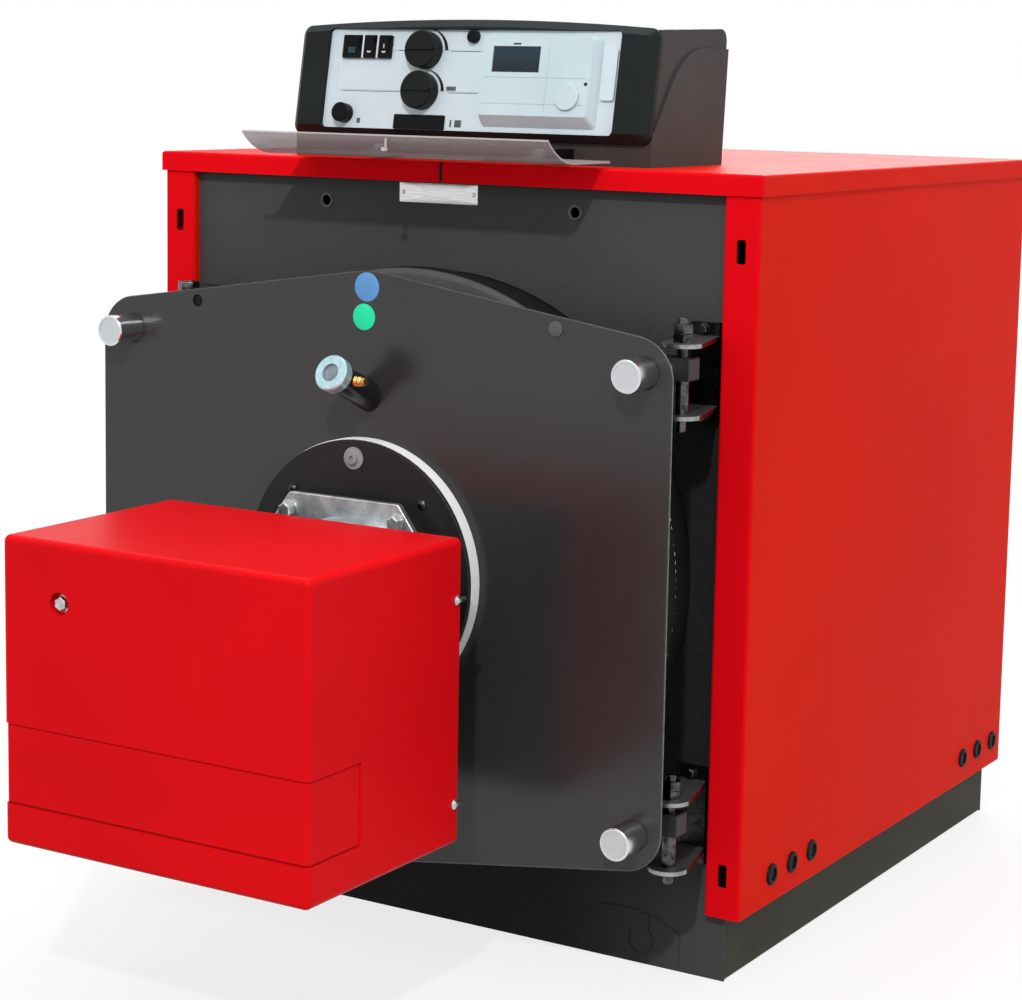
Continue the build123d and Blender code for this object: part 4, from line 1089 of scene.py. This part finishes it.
def makeHoodScrews():
    low, high = boxOf("burner_hood")
    side, drop = hoodScrews["well"]
    well = facing((low[0] + side, low[1] + hoodScrews["wellDepth"], high[2] - drop))
    bolt = hexBolt(well, hoodScrews["width"], hoodScrews["washer"], hoodScrews["tall"])
    makePiece("hood_bolt", bolt, "brightZinc", "door")
    hooks = []
    y = high[1] - hoodScrews["hookIn"]
    for x, way in ((high[0], 1), (low[0], -1)):
        for z in hoodScrews["hookRows"]:
            hooks += panScrew(facing((x, y, z), across=(0, way, 0)), hoodScrews["hookRadius"])
            foot = (x + hoodScrews["shankOut"] * way, y, z)
            rearward = [np.array(v, float) for v in (foot, (way, 0, 0), (0, 0, way), (0, 1, 0))]
            hooks.append(button(hoodScrews["shank"], rearward, 20))
    makePiece("hood_hook_screws", hooks, "brightZinc", "door")


makeHoodScrews()

# end caps of the cover knobs, with a raised rim round a sunk face, and lock nuts on the latch bolts

capLook = dict(
    radius=17.6, foot=1.0, overlap=2.5, length=12.0, chamfer=1.2, rim=2.2, rimWall=0.3, sink=0.6,
)
nutLook = dict(width=22.0, height=11.0, edge=1.4, tip=1.0, apart=490)


def makeCaps():
    low, high = boxOf("cover_knobs")
    long = capLook["overlap"] + capLook["length"]
    chamfer, face = capLook["chamfer"], long - capLook["sink"]
    inner = chamfer + capLook["rim"]
    profile = [(None, 0), (-capLook["foot"], 0), (0, 0), (0, long - chamfer), (-chamfer, long),
               (-inner, long), (-inner - capLook["rimWall"], face), (None, face)]
    outline, base = circleOutline(capLook["radius"]), low[1] + capLook["overlap"]
    caps = [carried(outline, profile, facing((x, base, z)))
            for x in (low[0] + knobLook["radius"], high[0] - knobLook["radius"])
            for z in (low[2] + knobLook["radius"], high[2] - knobLook["radius"])]
    makePiece("knob_caps", caps, "turnedKnob", "door")
    low, high = boxOf("latch_bolts")
    foot = high[2] - nutLook["tip"] - nutLook["height"]
    x, y, _ = (low + high) / 2
    nuts = [pad(hexOutline(nutLook["width"]), nutLook["height"], nutLook["edge"],
                facing((x, y, foot - drop), up=(0, 1, 0))) for drop in (0, nutLook["apart"])]
    makePiece("latch_nuts", nuts, "pinZinc", "door")


makeCaps()

# bolts of the hinge and latch brackets

bracketBolts = dict(x=336, width=10.0, washer=6.6, below=60, above=34.5, arm=245, plate=8.0)


def makeBracketBolts():
    face = panelFront - bracketBolts["plate"]
    bolts = []
    for x in (-bracketBolts["x"], bracketBolts["x"]):
        for arm in (-bracketBolts["arm"], bracketBolts["arm"]):
            for rise in (-bracketBolts["below"], bracketBolts["above"]):
                plane = facing((x, face, doorMiddle + arm + rise))
                bolts += hexBolt(plane, bracketBolts["width"], bracketBolts["washer"])
    makePiece("bracket_bolts", bolts, "darkZinc", "root")


makeBracketBolts()

# brighter metal bands about the pins on the lugs' edges: painted highlights along them; the latch lugs
# are open in front

lugLook = dict(
    y=-271.5, radius=22.0, proud=0.35, thick=5.0, bare=0.3, feet=(22.5, -53.0),
    hinge=dict(x=350, turns=((-178, -2),)),
    latch=dict(x=-305, turns=((-178, -114), (-66, -2))),
)


def makeLugEdges():
    bands = []
    proud, tall = lugLook["proud"], lugLook["thick"] - 2 * lugLook["bare"]
    for side in ("hinge", "latch"):
        for arm in (-bracketBolts["arm"], bracketBolts["arm"]):
            for foot in lugLook["feet"]:
                height = doorMiddle + arm + foot + lugLook["bare"]
                plane = facing((lugLook[side]["x"], lugLook["y"], height), (1, 0, 0), (0, 1, 0))
                for turn in lugLook[side]["turns"]:
                    bands.append(arcBand(plane, *turn, lugLook["radius"], proud, proud, tall))
    makePiece("lug_edge_highlights", bands, "edgeMetal", "root")


makeLugEdges()

# tufts of glass fibre from the rope that show in the gap beside the door disc, on the hinge side

frayLook = dict(
    turn=(28, -26), count=34, radius=327.0, gap=3.6, size=(2.6, 1.5, 1.3), seed=5, vary=(0.6, 1.15),
)


# each tuft is an ellipsoid: half sizes along, across and out of the gap times a unit sphere
def makeFray():
    around = np.linspace(0, 2 * np.pi, 10, endpoint=False)
    t, f = np.meshgrid(np.linspace(0, np.pi, 7), around, indexing="ij")
    ball = np.stack([np.cos(t), np.sin(t) * np.cos(f), np.sin(t) * np.sin(f)], -1) * frayLook["size"]
    pick = np.random.default_rng(frayLook["seed"])
    gap = np.array([0, boxOf("door_disc")[1][1] + frayLook["gap"], doorMiddle])
    tufts = []
    for turn in np.radians(np.linspace(*frayLook["turn"], frayLook["count"])):
        out = np.array([np.cos(turn), 0, np.sin(turn)])
        along = np.array([-np.sin(turn), 0, np.cos(turn)])
        tuft = ball @ np.array([along, (0, 1, 0), out])
        tufts.append(gap + frayLook["radius"] * out + pick.uniform(*frayLook["vary"]) * tuft)
    makePiece("seal_fray", tufts, "whiteFibre", "door")


makeFray()

# dark strip in the joint of the two top panels, seen on their front lip: painted shadow in the gap

seamLook = dict(half=(2.0, 10.5), corner=0.3, drop=1, thick=0.3, edge=0.1)


def makeSeam():
    low, high = boxOf("top_panels")
    plane = facing((0, low[1], high[2] - seamLook["half"][1] - seamLook["drop"]))
    makePiece("top_gap_shadow_strip", [slab(seamLook, plane)], "plugRubber", "root")


makeSeam()

# pane of the sight glass, a shallow dome in the tilted ring

paneSize = dict(tilt=24.0, foot=639.0, along=75.0, radius=9.8, thick=0.8, edge=0.3, crown=0.9)


def makePaneGlass():
    plane = leaning((0, coverFront, paneSize["foot"]), paneSize["tilt"], 0, paneSize["along"])
    makePiece("sight_pane", [button(paneSize, plane)], "sightPane", "door")


makePaneGlass()

# marks and small fittings on the leaning control panel; u across, v up the slope

panelLook = dict(x=-6.0, y=-153.5, z=917.0, lean=10.0, sink=-6.0, raised=7.0)


def onPanel(u, v, height):
    foot = (panelLook["x"] + u, panelLook["y"], panelLook["z"])
    return leaning(foot, panelLook["lean"], v, height)


scaleLook = dict(u=-61, rows=(100.5, 53), inner=25.0, turn=(82, 2), width=(0.6, 4.4), thick=0.3)


def makeScales():
    values = scaleLook
    bands = [arcBand(onPanel(values["u"], v, panelLook["sink"]), *values["turn"], values["inner"],
                     *values["width"], values["thick"]) for v in values["rows"]]
    makePiece("dial_scales", bands, "blackInk", "root")


makeScales()

# a mark is its place, then its half sizes; raised ones are on the module, the others on the fascia
markLook = dict(
    led=dict(at=(163, 63), radius=2.1, thick=0.6, edge=0.3, crown=0.3),
    corner=0.4, thick=0.25, edge=0.1,
    raised=((69, 107.5, 5.0, 0.9),),
    # the last four sunk marks are thin lines in the fascia's grooves, painted shade in the grooves; the
    # others are print
    sink=((-147, 17, 2.4, 3.0), (-22, 57, 6.5, 2.4), (-18, 16.5, 1.2, 4.2), (-8, 16.5, 4.6, 4.2),
          (-94, 100.5, 7.0, 0.35), (-8, 100.5, 20.0, 0.3), (-134, 52, 42.0, 0.3), (-6, 52, 20.0, 0.3)),
)


def makeMarks():
    led = markLook["led"]
    spot = button(led, onPanel(*led["at"], panelLook["raised"]), 24)
    dashes, signs = [
        [slab(dict(markLook, half=(a, b)), onPanel(u, v, panelLook[level]))
         for u, v, a, b in markLook[level]]
        for level in ("raised", "sink")
    ]
    makePiece("module_marks", [spot] + dashes, "blackInk", "root")
    makePiece("panel_marks_and_groove_shade", signs, "greyInk", "root")


makeMarks()

# dividers between the rockers, the lens in the first one and white strokes on the others

rockerLook = dict(
    divider=dict(half=(1.2, 13.5), corner=0.3, thick=3.9, edge=0.2), dividers=(-149.1, -128.4), v=104,
    lens=dict(at=(-164, 99.5), height=-1.4, half=(5.0, 3.6), corner=0.8, thick=0.4, edge=0.2),
    marks=((-139.5, 99.5), (-118.5, 99.5)), markTurn=(200, 340), markInner=1.5, markWidth=1.5,
    markThick=0.35,
    stroke=dict(at=(-118.5, 104.5), half=(0.6, 2.6), corner=0.3, thick=1.0, edge=0.1),
)


def makeRockerTrim():
    values, lens, stroke = rockerLook, rockerLook["lens"], rockerLook["stroke"]
    dividers = [slab(values["divider"], onPanel(u, values["v"], panelLook["sink"]))
                for u in values["dividers"]]
    makePiece("switch_dividers", dividers, "fasciaPlastic", "root")
    window = slab(lens, onPanel(*lens["at"], lens["height"]))
    makePiece("switch_lens", [window], "tealLens", "root")
    width = values["markWidth"]
    shape = (*values["markTurn"], values["markInner"], width, width, values["markThick"])
    marks = [arcBand(onPanel(u, v, lens["height"]), *shape) for u, v in values["marks"]]
    marks.append(slab(stroke, onPanel(*stroke["at"], lens["height"])))
    makePiece("switch_marks", marks, "whiteInk", "root")


makeRockerTrim()

# catch on the curled edge of the flap: a stem and a foot

catchLook = dict(
    at=(8, -321.8, 912.5), footPlace=(-1.5, -5.5),
    stem=dict(half=(1.5, 6.5), corner=1.0, thick=1.8, edge=0.5, crown=0.2),
    foot=dict(half=(4.2, 2.2), corner=1.6, thick=2.2, edge=0.6, crown=0.2),
)


def makeCatch():
    plane = facing(catchLook["at"])
    stem = slab(catchLook["stem"], plane)
    foot = slab(catchLook["foot"], inPlane(plane, *catchLook["footPlace"]))
    makePiece("flap_catch", [stem, foot], "brightZinc", "flap")


makeCatch()

# screws round the rear panel

rearLook = dict(
    side=381, rows=(104, 292, 480, 668, 858), top=873, columns=(-254, -127, 0, 127, 254), radius=5.0,
)


def makeRearScrews():
    back = boxOf("rear_panel")[1][1]
    places = [(way * rearLook["side"], z) for way in (-1, 1) for z in rearLook["rows"]]
    places += [(x, rearLook["top"]) for x in rearLook["columns"]]
    screws = [panScrew(facing((x, back, z), across=(-1, 0, 0)), rearLook["radius"]) for x, z in places]
    makePiece("rear_screws", sum(screws, []), "brightZinc", "root")


makeRearScrews()
